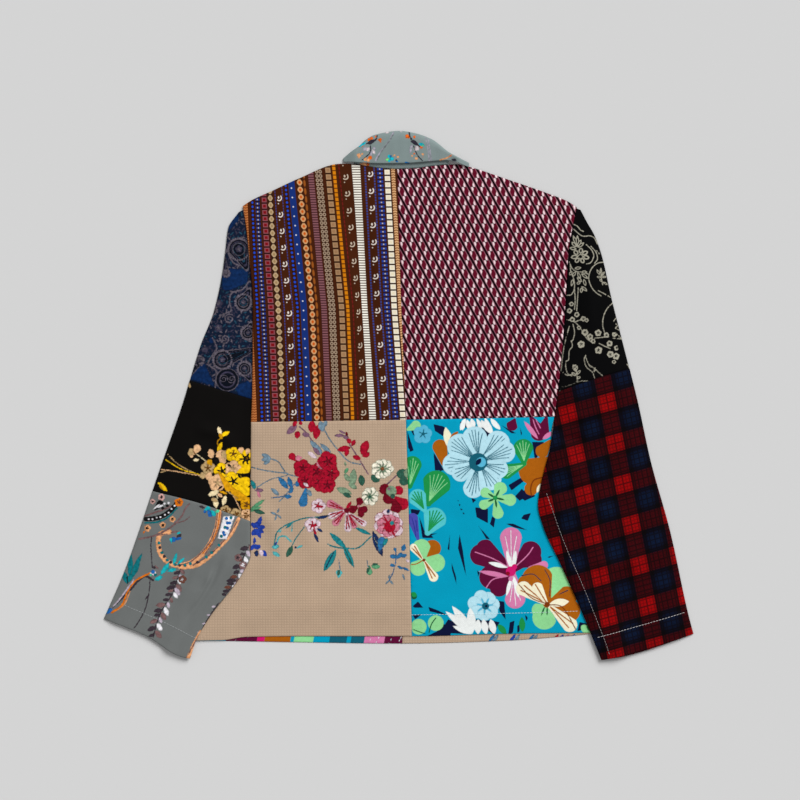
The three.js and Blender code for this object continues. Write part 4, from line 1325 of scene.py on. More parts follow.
TROPICAL = [
    ("shard navy", (49, -41, 60, -51, 62, -54, 53, -49), (12, -56, 17, -76, 13, -71),
     (12, -38, 22, -51, 20, -54), (111, -42, 123, -49, 124, -56, 115, -54), (138, -40, 158, -51, 152, -51),
     (48, -80, 58, -100, 57, -103, 49, -96), (150, -123, 164, -112, 163, -116, 151, -126),
     (157, -136, 166, -126, 174, -135, 163, -142), (103, -151, 120, -153, 120, -172, 105, -164),
     (126, -163, 130, -166, 128, -178, 123, -173), (98, -138, 104, -141, 100, -145),
     (16, -153, 29, -155, 26, -161, 17, -159), (165, -166, 169, -161, 178, -159, 174, -169),
     (107, -175, 109, -178, 123, -194, 118, -193), (145, -173, 154, -173, 174, -182, 156, -178),
     (82, -188, 80, -206, 91, -244, 86, -208), (69, -188, 66, -207, 68, -209),
     (71, -225, 72, -235, 78, -255, 77, -244), (79, -141, 81, -142, 80, -143),
     (81, -146, 83, -147, 82, -150), (83, -152, 86, -154, 84, -155), (86, -157, 89, -160, 87, -160),
     (134, -277, 142, -278, 144, -302, 136, -291), (19, -284, 26, -278, 33, -286, 21, -286),
     (40, -285, 53, -290, 67, -297, 42, -291), (19, -296, 31, -295, 22, -302),
     (55, -320, 67, -302, 91, -313, 96, -322), (100, -302, 127, -304, 136, -306, 127, -322),
     (150, -306, 156, -304, 154, -320, 148, -322), (160, -311, 163, -309, 163, -319, 160, -320),
     (170, -295, 174, -300, 172, -304), (244, -306, 259, -309, 261, -313, 241, -318),
     (32, -185, 38, -183, 47, -192, 33, -192), (200, -218, 210, -216, 203, -219),
     (163, -42, 166, -51, 165, -54), (106, -236, 109, -239, 107, -244)),
    ("veined lime forest", (12, -46, 29, -38, 13.5, 2)),
    ("flower sky teal", (33, -52, 14, 5, 10)),
    ("petal orange", (64, -100, 53, -60, 20), (204, -62, 188, -82, 18), (203, -87, 165, -112, 38),
     (194, -112, 172, -132, 18), (35, -221, 52, -197, 22.5)),
    ("leaf cream", (70, -74, 63, -43, 11), (194, -118, 186, -131, 6.5)),
    ("leaf orange", (69, -59, 80, -49, 5.5)),
    ("leaf white", (86, -47, 87, -33, 6), (96, -47, 92, -33, 6), (101, -44, 100, -33, 5.5),
     (123, -51, 111, -33, 6), (127, -52, 117, -33, 5.5), (137, -46, 124, -33, 6.5),
     (100, -322, 63, -291, 9), (100, -320, 72, -284, 10.5), (98, -322, 73, -311, 6.5)),
    ("petal plum", (156, -33, 150, -47, 18), (179, -31, 194, -60, 22.5), (152, -237, 98, -208, 29),
     (150, -232, 107, -199, 24.5), (152, -237, 188, -201, 29), (158, -230, 192, -217, 22.5)),
    ("leaf rose", (169, -35, 188, -59, 6)),
    ("petal plum", (199, -31, 192, -57, 18)),
    ("leaf rose", (208, -49, 194, -59, 6)),
    ("line rose", (1.2, 181, -33, 185, -44, 189, -52), (1.2, 185, -33, 191, -44)),
    ("line brown", (1.5, 199, -110, 183, -114, 178, -125, 179, -135)),
    ("petal violet", (26, -194, 17, -159, 14.5)),
    ("line royal", (1.2, 17, -163, 21, -177, 23, -190), (1.2, 23, -168, 25, -183)),
    ("veined moss lime", (15, -123, 20, -82, 24.5, 5), (40, -145, 58, -103, 38, 6),
     (169, -91, 167, -59, 27, 5), (170, -93, 136, -106, 20, 5)),
    ("veined aqua moss", (35, -155, 20, -128, 24.5, 5), (39, -185, 55, -153, 31.5, 6)),
    ("veined pale teal", (107, -89, 100, -42, 33.5, 6), (107, -89, 69, -58, 33.5, 6),
     (108, -89, 145, -53, 33.5, 6), (108, -90, 156, -71, 29, 5), (107, -90, 59, -94, 29, 5),
     (106, -91, 73, -110, 24.5, 4), (107, -91, 98, -138, 27, 5), (108, -91, 132, -125, 29, 5),
     (109, -91, 147, -103, 24.5, 4)),
    ("disc teal", (107, -90, 12.5)),
    ("disc sky", (111, -90, 6.5)),
    ("leaf navy", (104, -94, 111, -85, 6.5)),
    ("petal lime", (130, -138, 141, -118, 18), (130, -138, 158, -142, 16), (130, -140, 135, -166, 15),
     (130, -140, 109, -150, 13), (130, -138, 111, -128, 13.5), (33, -222, 29, -194, 24.5),
     (33, -222, 62, -228, 24.5), (33, -222, 20, -241, 22.5), (208, -275, 217, -232, 42.5),
     (201, -284, 192, -315, 38), (199, -284, 181, -295, 24.5)),
    ("leaf leafdark", (130, -138, 136, -127, 2.5), (130, -138, 143, -141, 2.5), (130, -139, 132, -152, 2.5),
     (130, -139, 120, -143, 2.5), (130, -138, 120, -132, 2.5)),
    ("disc moss", (130, -138, 3)),
    ("veined cream orange", (33, -222, 17, -201, 10.5, 2), (34, -222, 50, -250, 12.5, 2)),
    ("line orange", (1.2, 33, -222, 24, -227, 17, -228)),
    ("disc brown", (34, -222, 2)),
    ("veined rose white", (152, -237, 151, -178, 29, 3)),
    ("petal plum", (150, -240, 109, -248, 31.5), (148, -244, 127, -268, 24.5)),
    ("leaf rose", (148, -244, 108, -237, 6.5)),
    ("leaf white", (148, -232, 120, -225, 6.5), (152, -235, 145, -208, 6)),
    ("line rose", (1.2, 145, -230, 127, -220, 103, -211), (1.2, 158, -230, 174, -215, 181, -205),
     (1.2, 145, -244, 127, -248, 118, -259)),
    ("veined rose white", (154, -241, 158, -287, 27, 3)),
    ("petal rose", (176, -232, 201, -228, 11)),
    ("leaf white", (154, -235, 158, -208, 6), (152, -244, 145, -271, 5.5), (156, -244, 161, -273, 5.5)),
    ("disc magenta", (151, -237, 6.5), (156, -231, 3.5)),
    ("disc rose", (151, -247, 3)),
    ("disc crimson", (147, -240, 2.5)),
    ("petal orange", (200, -281, 179, -230, 42.5), (200, -281, 163, -246, 20), (201, -282, 239, -266, 27),
     (203, -282, 244, -295, 31.5)),
    ("line navy", (1.5, 166, -243, 181, -241, 192, -250), (1.5, 197, -235, 204, -250, 203, -271),
     (1.5, 217, -268, 228, -263)),
    ("veined cream orange", (200, -281, 160, -255, 20, 2), (200, -281, 183, -253, 15.5, 1),
     (202, -283, 238, -316, 20, 2)),
    ("leaf cream", (203, -281, 230, -278, 11)),
    ("line brown", (1.2, 200, -281, 179, -273, 162, -255), (1.2, 201, -282, 221, -286, 239, -316)),
    ("disc brown", (200, -282, 3.5)),
    ("leaf leafdark", (197, -284, 192, -297, 2), (200, -285, 200, -297, 2)),
    ("flower pale sky", (116, -284, 23.5, 7, 10)),
    ("disc teal", (117, -284, 5)),
    ("disc navy", (118, -284, 2)),
    ("leaf white", (100, -320, 96, -286, 11), (107, -322, 107, -302, 9), (118, -322, 114, -302, 9),
     (129, -322, 124, -302, 9)),
    ("disc lime", (27, -312, 10.5), (50, -307, 10.5)),
    ("line leafdark", (1.2, 41, -320, 44, -309, 50, -300), (1.2, 20, -316, 31, -320, 38, -322)),
    ("petal leafdark", (17, -268, 24, -273, 15.5)),
    ("leaf moss", (17, -266, 24, -271, 6.5), (145, -322, 134, -309, 8), (167, -319, 166, -299, 8)),
    ("leaf lime", (259, -320, 246, -311, 11)),
    ("leaf moss", (255, -309, 261, -318, 8)),
]


BLOSSOM = [
    ("line tan", (1.2, -311, -80, -297, -93, -281, -102, -267, -109)),
    ("line yellow", (1.2, -314, -87, -292, -100, -267, -107)),
    ("line peach", (1.2, -321, -100, -304, -102, -268, -108)),
    ("line tan", (1.2, -314, -102, -321, -104)),
    ("petal tan", (-277, -79, -281, -72, 11)),
    ("petal peach", (-276, -79, -269, -67, 10.5), (-277, -80, -281, -83, 10)),
    ("petal tan", (-277, -79, -284, -77, 9)),
    ("leaf cream", (-277, -87, -269, -87, 4), (-239, -55, -243, -42, 5.5), (-246, -152, -247, -139, 7),
     (-237, -148, -233, -135, 6)),
    ("line cream", (1.2, -273, -79, -266, -84, -258, -90)),
    ("line brown", (1.2, -277, -75, -274, -79)),
    ("leaf yellow", (-240, -55, -228, -49, 5.5), (-325, -117, -312, -129, 6.5)),
    ("leaf gold", (-238, -59, -241, -51, 4.5), (-323, -119, -318, -127, 2.5)),
    ("line gold", (1.2, -239, -57, -244, -62, -243, -69)),
    ("leaf yellow", (-244, -76, -238, -63, 5.5)),
    ("leaf peach", (-252, -85, -254, -72, 8.5)),
    ("petal peach", (-237, -87, -242, -74, 13.5)),
    ("petal tan", (-237, -87, -231, -75, 12.5)),
    ("petal peach", (-242, -87, -233, -90, 13.5)),
    ("flower yellow brown", (-223, -79, 11, 5, 10)),
    ("flower yellow black", (-207, -86, 15.5, 6, 0)),
    ("petal peach", (-212, -78, -213, -70, 10), (-205, -79, -202, -72, 9)),
    ("flower tan brown", (-257, -98, 10.5, 5, 20), (-233, -155, 8, 5, 10)),
    ("petal tan", (-259, -108, -268, -108, 11)),
    ("petal peach", (-254, -104, -257, -114, 11.5), (-242, -159, -241, -154, 7.5)),
    ("flower yellow black", (-238, -102, 13.5, 5, 30)),
    ("petal gold", (-252, -94, -257, -87, 7.5)),
    ("flower peach tan", (-224, -99, 12.5, 5, 0), (-244, -118, 13, 5, 15)),
    ("petal peach", (-232, -109, -212, -119, 14)),
    ("flower yellow black", (-223, -116, 14.5, 5, 40)),
    ("petal yellow", (-217, -104, -201, -97, 12.5), (-217, -114, -200, -119, 15)),
    ("petal gold", (-242, -104, -227, -129, 10), (-232, -119, -210, -140, 14)),
    ("petal yellow", (-224, -122, -200, -132, 13)),
    ("petal gold", (-217, -129, -208, -142, 10)),
    ("leaf black", (-202, -79, -208, -89, 3.5), (-242, -87, -249, -90, 5.5), (-231, -93, -226, -96, 3),
     (-217, -105, -213, -112, 3), (-244, -127, -237, -122, 2.5)),
    ("flower black gold", (-205, -85, 4.5, 5, 10)),
    ("leaf cream", (-257, -135, -242, -129, 6.5)),
    ("leaf peach", (-244, -132, -238, -137, 4.5)),
    ("leaf tan", (-253, -139, -244, -143, 5.5), (-285, 19, -281, 10, 4)),
    ("line cream", (1.2, -247, -129, -244, -139)),
    ("line peach", (1.2, -223, -135, -217, -147, -213, -155)),
    ("line tan", (1.2, -232, -129, -217, -139)),
    ("flower gold brown", (-205, -147, 10.5, 5, 0)),
    ("flower peach brown", (-206, -162, 10, 6, 0)),
    ("flower tan brown", (-219, -160, 8.5, 5, 40)),
    ("leaf gold", (-242, -129, -231, -133, 3)),
]

SCROLL = [
    ("line peach", (6.5, -242, -154, -244, -174, -251, -194, -263, -212, -279, -225, -297, -229, -312, -224,
      -321, -213, -324, -198, -321, -187, -309, -184),
     (5, -216, -167, -226, -187, -242, -205, -257, -219, -274, -230, -294, -232)),
    ("line mauve", (1.2, -244, -159, -247, -179, -254, -197, -267, -213, -282, -225, -299, -229),
     (1.2, -238, -159, -242, -179, -249, -196, -261, -214),
     (1.2, -218, -170, -229, -188, -243, -204, -259, -218, -277, -229)),
    ("line orange", (1.2, -241, -157, -244, -179, -252, -197, -264, -213)),
    ("disc teal", (-323, -199, 2), (-319, -212, 2), (-312, -222, 2), (-301, -228, 2), (-288, -229, 2),
     (-281, -227, 2), (-259, -218, 2), (-252, -212, 2), (-242, -202, 2)),
    ("disc dark", (-322, -205, 2), (-316, -217, 2), (-307, -225, 2), (-295, -229, 2), (-271, -225, 2),
     (-232, -190, 2)),
    ("shard white", (-236, -163, -221, -163, -232, -194, -244, -193)),
    ("disc blue", (-232, -166, 2), (-231, -172, 2), (-228, -172, 2), (-236, -185, 2)),
    ("disc teal", (-226, -165, 2), (-234, -178, 2), (-239, -190, 2)),
    ("disc blue", (-231, -179, 2), (-235, -188, 2)),
    ("petal turq", (-261, -154, -254, -152, 7.5)),
    ("petal blue", (-257, -155, -252, -163, 7.5), (-307, -197, -301, -192, 7)),
    ("petal turq", (-253, -155, -247, -162, 6.5), (-306, -199, -307, -192, 4)),
    ("petal lime", (-247, -158, -242, -155, 4.5)),
    ("leaf dark", (-269, -149, -261, -152, 3.5), (-299, -192, -293, -187, 4.5)),
    ("disc blue", (-261, -157, 2)),
    ("leaf blue", (-301, -194, -292, -192, 4)),
    ("leaf turq", (-299, -187, -294, -184, 3), (-321, -242, -309, -225, 6), (-312, -237, -299, -234, 5),
     (-304, -229, -299, -212, 4.5), (-299, -229, -288, -218, 3.5), (-309, -234, -316, -229, 3)),
    ("leaf mauve", (-307, -185, -297, -183, 2.5)),
    ("line black", (6, -341, -167, -329, -166, -317, -162, -306, -154, -299, -145)),
    ("line teal", (2, -342, -172, -327, -171, -312, -165, -299, -152)),
    ("line mauve", (2, -342, -163, -329, -158, -317, -154, -307, -149)),
    ("petal black", (-329, -154, -318, -143, 10)),
    ("leaf white", (-331, -154, -321, -146, 3), (-326, -152, -316, -147, 3)),
    ("disc white", (-316, -146, 1.5), (-310, -145, 1.5), (-321, -149, 1.5), (-337, -167, 1.5),
     (-332, -167, 1.5), (-326, -165, 1.5), (-321, -164, 1.5), (-315, -161, 1.5), (-310, -158, 1.5),
     (-306, -153, 1.5), (-302, -149, 1.5)),
    ("disc black", (-318, -152, 2), (-312, -149, 2)),
    ("flower orange brown", (-296, -144, 6.5, 5, 10)),
    ("flower peach black", (-305, -167, 4.5, 5, 0), (-318, -175, 4.5, 5, 20), (-339, -179, 5, 5, 0)),
    ("flower pink black", (-320, -137, 5, 5, 0), (-332, -143, 4, 5, 0)),
    ("leaf orange", (-346, -187, -342, -183, 2.5)),
    ("line mauve", (2, -351, -194, -329, -189, -309, -179, -294, -165, -287, -152, -282, -146),
     (1.2, -299, -172, -289, -169, -282, -164), (1.2, -329, -189, -312, -187)),
    ("line dark", (1.2, -333, -190, -334, -204, -333, -219, -332, -232),
     (1.2, -335, -249, -337, -269, -342, -289, -351, -306, -357, -314),
     (2.5, -393, -293, -379, -279, -363, -264, -354, -253, -342, -244, -331, -249),
     (1.5, -294, -234, -299, -251, -304, -266, -316, -284, -324, -301, -331, -326),
     (1.5, -202, -202, -211, -223, -217, -244, -224, -256, -233, -270),
     (1.5, -242, -279, -257, -301, -269, -324)),
    ("leaf dark", (-342, -276, -337, -269, 2), (-332, -232, -326, -232, 3.5), (-213, -229, -224, -233, 6)),
    ("leaf teal", (-366, -254, -371, -238, 7.5), (-363, -244, -361, -214, 7), (-360, -242, -346, -213, 6),
     (-362, -248, -349, -227, 5.5), (-367, -253, -357, -239, 6.5)),
    ("leaf black", (-365, -254, -367, -242, 1.5)),
    ("line lilac", (2, -389, -289, -377, -276, -366, -261, -357, -249)),
    ("line orange", (2.5, -387, -293, -373, -283, -366, -266, -356, -251, -344, -244, -336, -240)),
    ("line peach", (1.2, -379, -289, -369, -281, -362, -264)),
    ("leaf blue", (-397, -295, -386, -287, 6)),
    ("leaf turq", (-398, -296, -392, -290, 3)),
    ("petal white", (-334, -240, -327, -239, 11)),
    ("disc blue", (-331, -238, 2.5)),
    ("disc teal", (-328, -242, 2)),
    ("disc lime", (-334, -242, 1.5)),
    ("leaf mauve", (-329, -229, -324, -234, 2.5), (-294, -234, -289, -241, 4.5),
     (-328, -317, -320, -327, 6.5), (-202, -202, -197, -211, 5), (-242, -279, -241, -283, 2),
     (-249, -290, -248, -295, 2.5), (-257, -301, -255, -306, 2.5), (-263, -313, -260, -319, 3.5)),
    ("leaf turq", (-318, -244, -329, -249, 5.5)),
    ("leaf dark", (-295, -237, -303, -241, 4), (-329, -322, -337, -325, 4), (-203, -205, -214, -208, 5.5)),
    ("leaf lilac", (-296, -241, -291, -249, 5), (-205, -209, -200, -218, 5), (-214, -233, -208, -241, 5),
     (-246, -284, -252, -285, 3), (-253, -296, -259, -296, 2.5), (-260, -307, -265, -308, 2.5),
     (-266, -318, -271, -319, 2)),
    ("leaf mauve", (-297, -244, -305, -247, 4)),
    ("leaf white", (-298, -248, -294, -254, 4), (-326, -307, -319, -317, 6), (-208, -217, -204, -226, 5)),
    ("leaf dark", (-299, -251, -308, -254, 5), (-327, -312, -339, -317, 6), (-207, -213, -214, -215, 4),
     (-215, -236, -223, -240, 4.5)),
    ("leaf mauve", (-300, -254, -293, -265, 6.5), (-211, -225, -204, -235, 6)),
    ("leaf dark", (-301, -257, -313, -261, 6)),
    ("leaf lilac", (-302, -259, -295, -270, 6)),
    ("leaf mauve", (-303, -262, -311, -265, 4)),
    ("leaf white", (-304, -265, -298, -274, 5), (-216, -240, -209, -250, 6)),
    ("leaf dark", (-306, -268, -315, -269, 4.5)),
    ("leaf mauve", (-308, -272, -305, -280, 4)),
    ("leaf dark", (-310, -275, -318, -276, 4)),
    ("leaf lilac", (-312, -278, -309, -287, 4)),
    ("leaf mauve", (-314, -282, -327, -283, 6.5)),
    ("leaf white", (-316, -285, -311, -297, 6)),
    ("leaf dark", (-318, -289, -330, -291, 6)),
    ("leaf mauve", (-320, -292, -314, -303, 6)),
    ("leaf dark", (-321, -295, -330, -297, 4)),
    ("leaf lilac", (-323, -299, -319, -307, 4.5)),
    ("leaf mauve", (-325, -302, -335, -307, 5.5)),
    ("leaf brown", (-210, -221, -217, -223, 3.5), (-217, -244, -227, -245, 5)),
    ("leaf mauve", (-218, -246, -214, -258, 6)),
    ("leaf dark", (-220, -249, -232, -250, 6)),
    ("leaf lilac", (-221, -251, -218, -260, 5)),
    ("leaf dark", (-222, -253, -232, -254, 4.5)),
    ("leaf white", (-224, -255, -220, -265, 5)),
    ("leaf brown", (-225, -258, -235, -259, 4.5)),
    ("leaf mauve", (-227, -260, -224, -268, 4)),
    ("leaf dark", (-228, -263, -237, -264, 4.5)),
    ("leaf lilac", (-230, -265, -226, -276, 6)),
    ("leaf dark", (-232, -268, -239, -268, 3.5)),
    ("line peach", (5, -267, -319, -276, -336, -284, -355)),
    ("line mauve", (1.2, -269, -323, -278, -339, -286, -354)),
    ("flower mauve dark", (-217, -219, 5.5, 5, 0)),
    ("flower brown white", (-292, -248, 6, 5, 0)),
    ("flower mauve white", (-210, -229, 6.5, 5, 30)),
]

LINE_FLORAL = [
    ("line ivory", (1.2, 235, 231, 241, 228, 245, 223, 249, 221),
     (1.2, 236, 224, 247, 215, 258, 215, 264, 212, 268, 204),
     (1.2, 253, 203, 260, 196, 263, 188, 259, 179, 253, 177), (1.2, 259, 201, 266, 193, 268, 184, 264, 178),
     (1.2, 267, 195, 271, 191), (1.2, 230, 180, 234, 171, 240, 167, 247, 166, 256, 163),
     (1.2, 231, 178, 232, 167, 236, 157, 237, 145, 233, 136, 227, 135), (1.2, 269, 141, 277, 137, 286, 132),
     (1.2, 242, 145, 241, 128, 240, 114), (1.2, 237, 143, 238, 128, 237, 116),
     (1.2, 227, 102, 237, 99, 245, 90, 254, 76, 264, 70), (1.2, 264, 77, 273, 78, 283, 79),
     (1.2, 270, 70, 278, 66, 285, 63), (1.2, 237, 99, 246, 102, 254, 103),
     (1.2, 293, 104, 289, 98, 292, 91, 297, 88), (1.2, 292, 97, 295, 94, 293, 91),
     (1.2, 235, 96, 237, 85, 235, 75, 232, 73),
     (1.2, 233, 73, 234, 66, 230, 60, 229, 48, 225, 45, 227, 31, 233, 26),
     (1.2, 230, 93, 226, 78, 222, 60, 219, 33), (1.2, 221, 31, 227, 27, 233, 28),
     (1.2, 252, 54, 250, 48, 253, 38, 261, 31, 264, 23), (1.2, 252, 52, 256, 42, 265, 35, 275, 26),
     (1.2, 308, 42, 312, 36)),
    ("open_leaf ivory black", (241, 201, 235, 216, 4.5), (241, 200, 241, 216, 4.5),
     (241, 200, 246, 210, 4.5), (241, 199, 250, 206, 4.5), (240, 200, 233, 207, 4.5),
     (240, 197, 230, 199, 4.5), (248, 187, 257, 185, 6), (246, 185, 249, 178, 6), (243, 185, 238, 179, 6),
     (242, 187, 232, 186, 6), (242, 190, 236, 195, 6), (245, 191, 246, 199, 6), (247, 190, 255, 194, 6),
     (237, 171, 246, 172, 4), (239, 167, 234, 160, 4), (241, 166, 245, 157, 4), (246, 166, 254, 166, 4),
     (246, 164, 255, 157, 4), (249, 157, 252, 147, 4), (245, 153, 240, 150, 4), (246, 147, 254, 140, 4),
     (235, 157, 233, 147, 4), (240, 159, 247, 153, 4), (234, 167, 230, 162, 4), (246, 145, 246, 138, 4),
     (271, 162, 267, 170, 3), (272, 164, 273, 172, 3), (273, 160, 278, 167, 3), (273, 159, 267, 160, 3),
     (274, 159, 280, 160, 3), (274, 153, 271, 157, 3), (275, 153, 282, 149, 3), (237, 33, 235, 42, 3.5),
     (238, 32, 241, 40, 3.5), (240, 28, 245, 34, 3.5), (239, 26, 233, 31, 3.5), (240, 23, 245, 25, 3.5),
     (238, 35, 238, 42, 3.5), (256, 40, 261, 38, 2), (263, 31, 265, 38, 2)),
    ("line ivory", (1.2, 241, 187, 245, 190, 248, 187, 246, 184, 243, 185),
     (1.2, 278, 180, 268, 178, 260, 171, 256, 160, 258, 149, 265, 139, 273, 134),
     (1.2, 273, 172, 273, 160, 275, 149), (1.2, 239, 35, 241, 18),
     (1.2, 218, 10, 230, 14, 244, 19, 258, 19)),
    ("flower ivory black", (233, 123, 3.5, 5, 21), (230, 114, 4, 5, 6), (240, 109, 4, 5, 61),
     (234, 102, 4, 5, 26), (249, 103, 4, 5, 46), (253, 101, 3, 5, 69), (243, 91, 3, 5, 9),
     (251, 85, 5, 5, 54), (258, 79, 4.5, 5, 22), (269, 84, 5, 5, 15), (280, 81, 4, 5, 8),
     (246, 69, 5.5, 5, 29), (262, 73, 3.5, 5, 47), (269, 61, 5.5, 5, 18), (284, 70, 4.5, 5, 30),
     (294, 64, 4, 5, 16), (285, 55, 5, 5, 38), (293, 53, 5, 5, 11), (290, 45, 3, 5, 68),
     (291, 82, 4, 5, 1)),
    ("line ivory", (1.2, 289, 125, 281, 117, 276, 106, 275, 94, 278, 83), (1.2, 289, 84, 296, 81, 301, 76),
     (1.2, 289, 77, 301, 76)),
    ("disc ivory", (218, 6, 1)),
]

TWIGS = [
    ("line lilac", (2, -7, 354, -12, 344, -20, 333, -28, 323, -31, 316), (1.2, 36, 348, 39, 334, 41, 316),
     (1.2, 40, 345, 42, 331, 44, 316)),
    ("line ground", (1.2, -7, 352, -13, 342, -22, 330, -29, 317)),
    ("petal orange", (-28, 344, -22, 343, 6.5), (-35, 345, -38, 348, 5.5), (-31, 347, -30, 350, 5),
     (-38, 344, -42, 345, 4), (-48, 338, -50, 335, 4.5), (14, 348, 9, 350, 6), (19, 348, 23, 348, 6.5),
     (14, 350, 13, 346, 4.5), (29, 336, 32, 333, 4.5)),
    ("petal turq", (-51, 336, -54, 336, 3.5), (-12, 319, -13, 324, 5), (-11, 320, -7, 317, 5)),
    ("leaf turq", (-54, 335, -44, 341, 3.5), (27, 339, 35, 336, 4.5)),
    ("line dark", (1.5, -29, 350, -31, 344, -38, 341, -44, 339), (1.5, 14, 355, 16, 347, 23, 340, 28, 335)),
    ("leaf dark", (-31, 344, -43, 338, 5.5), (14, 346, 27, 336, 5), (71, 318, 78, 316, 3)),
    ("leaf lilac", (-43, 334, -48, 330, 4.5), (-35, 334, -31, 331, 3), (19, 338, 15, 331, 3),
     (17, 333, 15, 326, 2.5)),
    ("leaf pale", (-40, 334, -43, 329, 4), (-36, 331, -32, 325, 4), (23, 336, 27, 330, 4.5),
     (21, 333, 24, 329, 3.5), (-22, 356, -13, 354, 3.5), (1, 356, 5, 355, 1.5)),
    ("leaf lilac", (-36, 330, -38, 322, 3)),
    ("line dark", (1.2, -38, 336, -38, 328, -44, 321, -49, 317), (1.2, 20, 336, 23, 328, 27, 321, 32, 316)),
    ("petal peach", (-51, 322, -56, 324, 6), (-50, 324, -48, 326, 5), (-53, 321, -54, 319, 4.5),
     (19, 323, 17, 322, 5.5), (22, 320, 25, 318, 5), (31, 325, 34, 324, 5), (-7, 322, -5, 324, 2.5),
     (-49, 312, -53, 310, 5.5), (-48, 313, -44, 310, 6.5)),
    ("petal orange", (-41, 319, -36, 321, 5.5), (20, 325, 22, 326, 4.5), (32, 321, 33, 321, 3)),
    ("petal peach", (-43, 317, -39, 316, 5.5), (-44, 320, -46, 316, 5)),
    ("leaf lime", (31, 337, 34, 336, 1.5)),
    ("petal lime", (-13, 318, -17, 317, 3.5)),
    ("petal turq", (-12, 318, -13, 314, 4.5)),
    ("disc blue", (-11, 322, 1.5)),
    ("disc dark", (-3, 316, 1.5), (-18, 355, 1)),
    ("leaf blue", (-5, 315, 0, 315, 2), (7, 314, 15, 313, 1.5)),
    ("disc peach", (-1, 321, 1.4)),
    ("line peach", (1.5, 56, 317, 63, 319, 71, 323)),
    ("leaf orange", (67, 321, 72, 324, 1.5)),
    ("petal orange", (-43, 313, -40, 310, 5)),
    ("line dark", (1.2, -66, 313, -51, 311)),
    ("leaf lilac", (-71, 314, -64, 313, 2)),
]

BLOSSOM_INKS = {
    "tan": "#b89a6c", "peach": "#dfb184", "cream": "#ecd8ac", "yellow": "#f2c30c", "gold": "#d6980c",
    "brown": "#6a4214", "black": "#12100e",
}
SCROLL_INKS = {
    "peach": "#e0a070", "orange": "#dc7414", "mauve": "#7a5c5c", "lilac": "#bdb0be", "pink": "#d8a8a0",
    "white": "#e4e2e6", "lime": "#50d0a0", "turq": "#1aa8b0", "teal": "#0e7078", "blue": "#2060a8",
    "brown": "#6a4034", "dark": "#3a3038", "black": "#141214",
}
LINE_FLORAL_INKS = {"ivory": "#a8a493", "black": "#060607"}
COLLAR_INKS = {
    "orange": "#dc6418", "peach": "#eaa672", "dark": "#2e2a36", "turq": "#16b2c4", "lime": "#74dc70",
    "blue": "#1e6cac", "lilac": "#a8a4b2", "pale": "#d2c6ca", "ground": "#7c8786",
}
PAISLEY_INKS = {
    "blue": "#0b264f", "teal": "#22465c", "mauve": "#39364a", "tan": "#625b66", "night": "#090e1a",
}

HEM_BANDS = [
    (-236, -194, "plum"), (-194, -184, "magenta"), (-184, -149, "orange"), (-144, -118, "lime"),
    (-96, -73, "teal"), (-67, -49, "teal"), (-49, -22, "rose"), (-22, 6, "plum"),
]
# What shows of the fronts below the back's hem.
TROPICAL_HEM = [
    (f"shard {ink}", (start, -345, end, -345, end + 6, -312, start + 6, -312))
    for start, end, ink in HEM_BANDS
] + [("line white", *[(1.3, x, -340, x + 12, -318) for x in (-226, -210, -44, -34, -16, -4)])]
BOUQUET_HEM = [
    (f"leaf {ink}", (x - 5, -334, x + 4, -322, 4))
    for x, ink in ((126, "blue"), (131, "slate"), (154, "royal"), (160, "slate"), (179, "blue"),
                   (184, "slate"), (212, "red"), (219, "royal"), (226, "pink"), (234, "royal"))
]
# The dark ground between the tropical flowers.
TROPICAL_GROUND = [
    ("shard navy", (47, -39, 60, -42, 69, -49, 63, -57, 49, -48), (11, -46, 20, -74, 15, -76),
     (81, -35, 97, -39, 115, -45, 128, -53, 123, -59, 111, -47, 89, -43), (47, -77, 61, -101, 49, -101),
     (148, -121, 170, -108, 172, -113, 152, -128), (180, -63, 196, -63, 184, -89),
     (28, -164, 36, -187, 52, -186, 32, -192), (60, -308, 69, -314, 70, -325, 36, -326, 52, -318),
     (160, -134, 176, -124, 184, -136, 170, -142)),
    ("leaf white", (90, -31, 83, -47, 6), (98, -31, 101, -49, 6), (105, -31, 115, -52, 6),
     (116, -30, 126, -54, 6.5), (124, -31, 136, -46, 6)),
]

PAISLEY = [
    ("line tan", (1.8, -202, 154, -210, 143, -225, 138, -228, 126, -226, 114, -238, 109, -243, 103),
     (1.8, -251, 78, -245, 64, -251, 54, -257, 42, -246, 33, -247, 15),
     (1.8, -197, 196, -204, 176, -222, 178, -232, 196)),
    ("disc tan", (-231, 21, 15.5)),
    ("disc night", (-231, 21, 14.4)),
    ("disc mauve", (-231, 21, 11.5)),
    ("disc night", (-231, 21, 9)),
    ("paisley", (-205, 171, -221, 210, 28), (-201, 143, -214, 116, 21), (-196, 62, -249, 44, 24),
     (-199, 98, -206, 76, 18), (-200, 20, -212, 44, 18), (-262, 90, -250, 122, 14),
     (-288, 20, -266, 52, 13), (-236, 190, -232, 160, 9)),
    ("scroll tan", (-228, 103, 7, 1), (-234, 76, 7, 3), (-236, 22, 6, 0), (-225, 22, 6, 3)),
    ("flower mauve tan", (-243, 124, 6, 5, 0), (-243, 91, 6, 5, 30), (-261, 62, 5, 5, 10)),
]


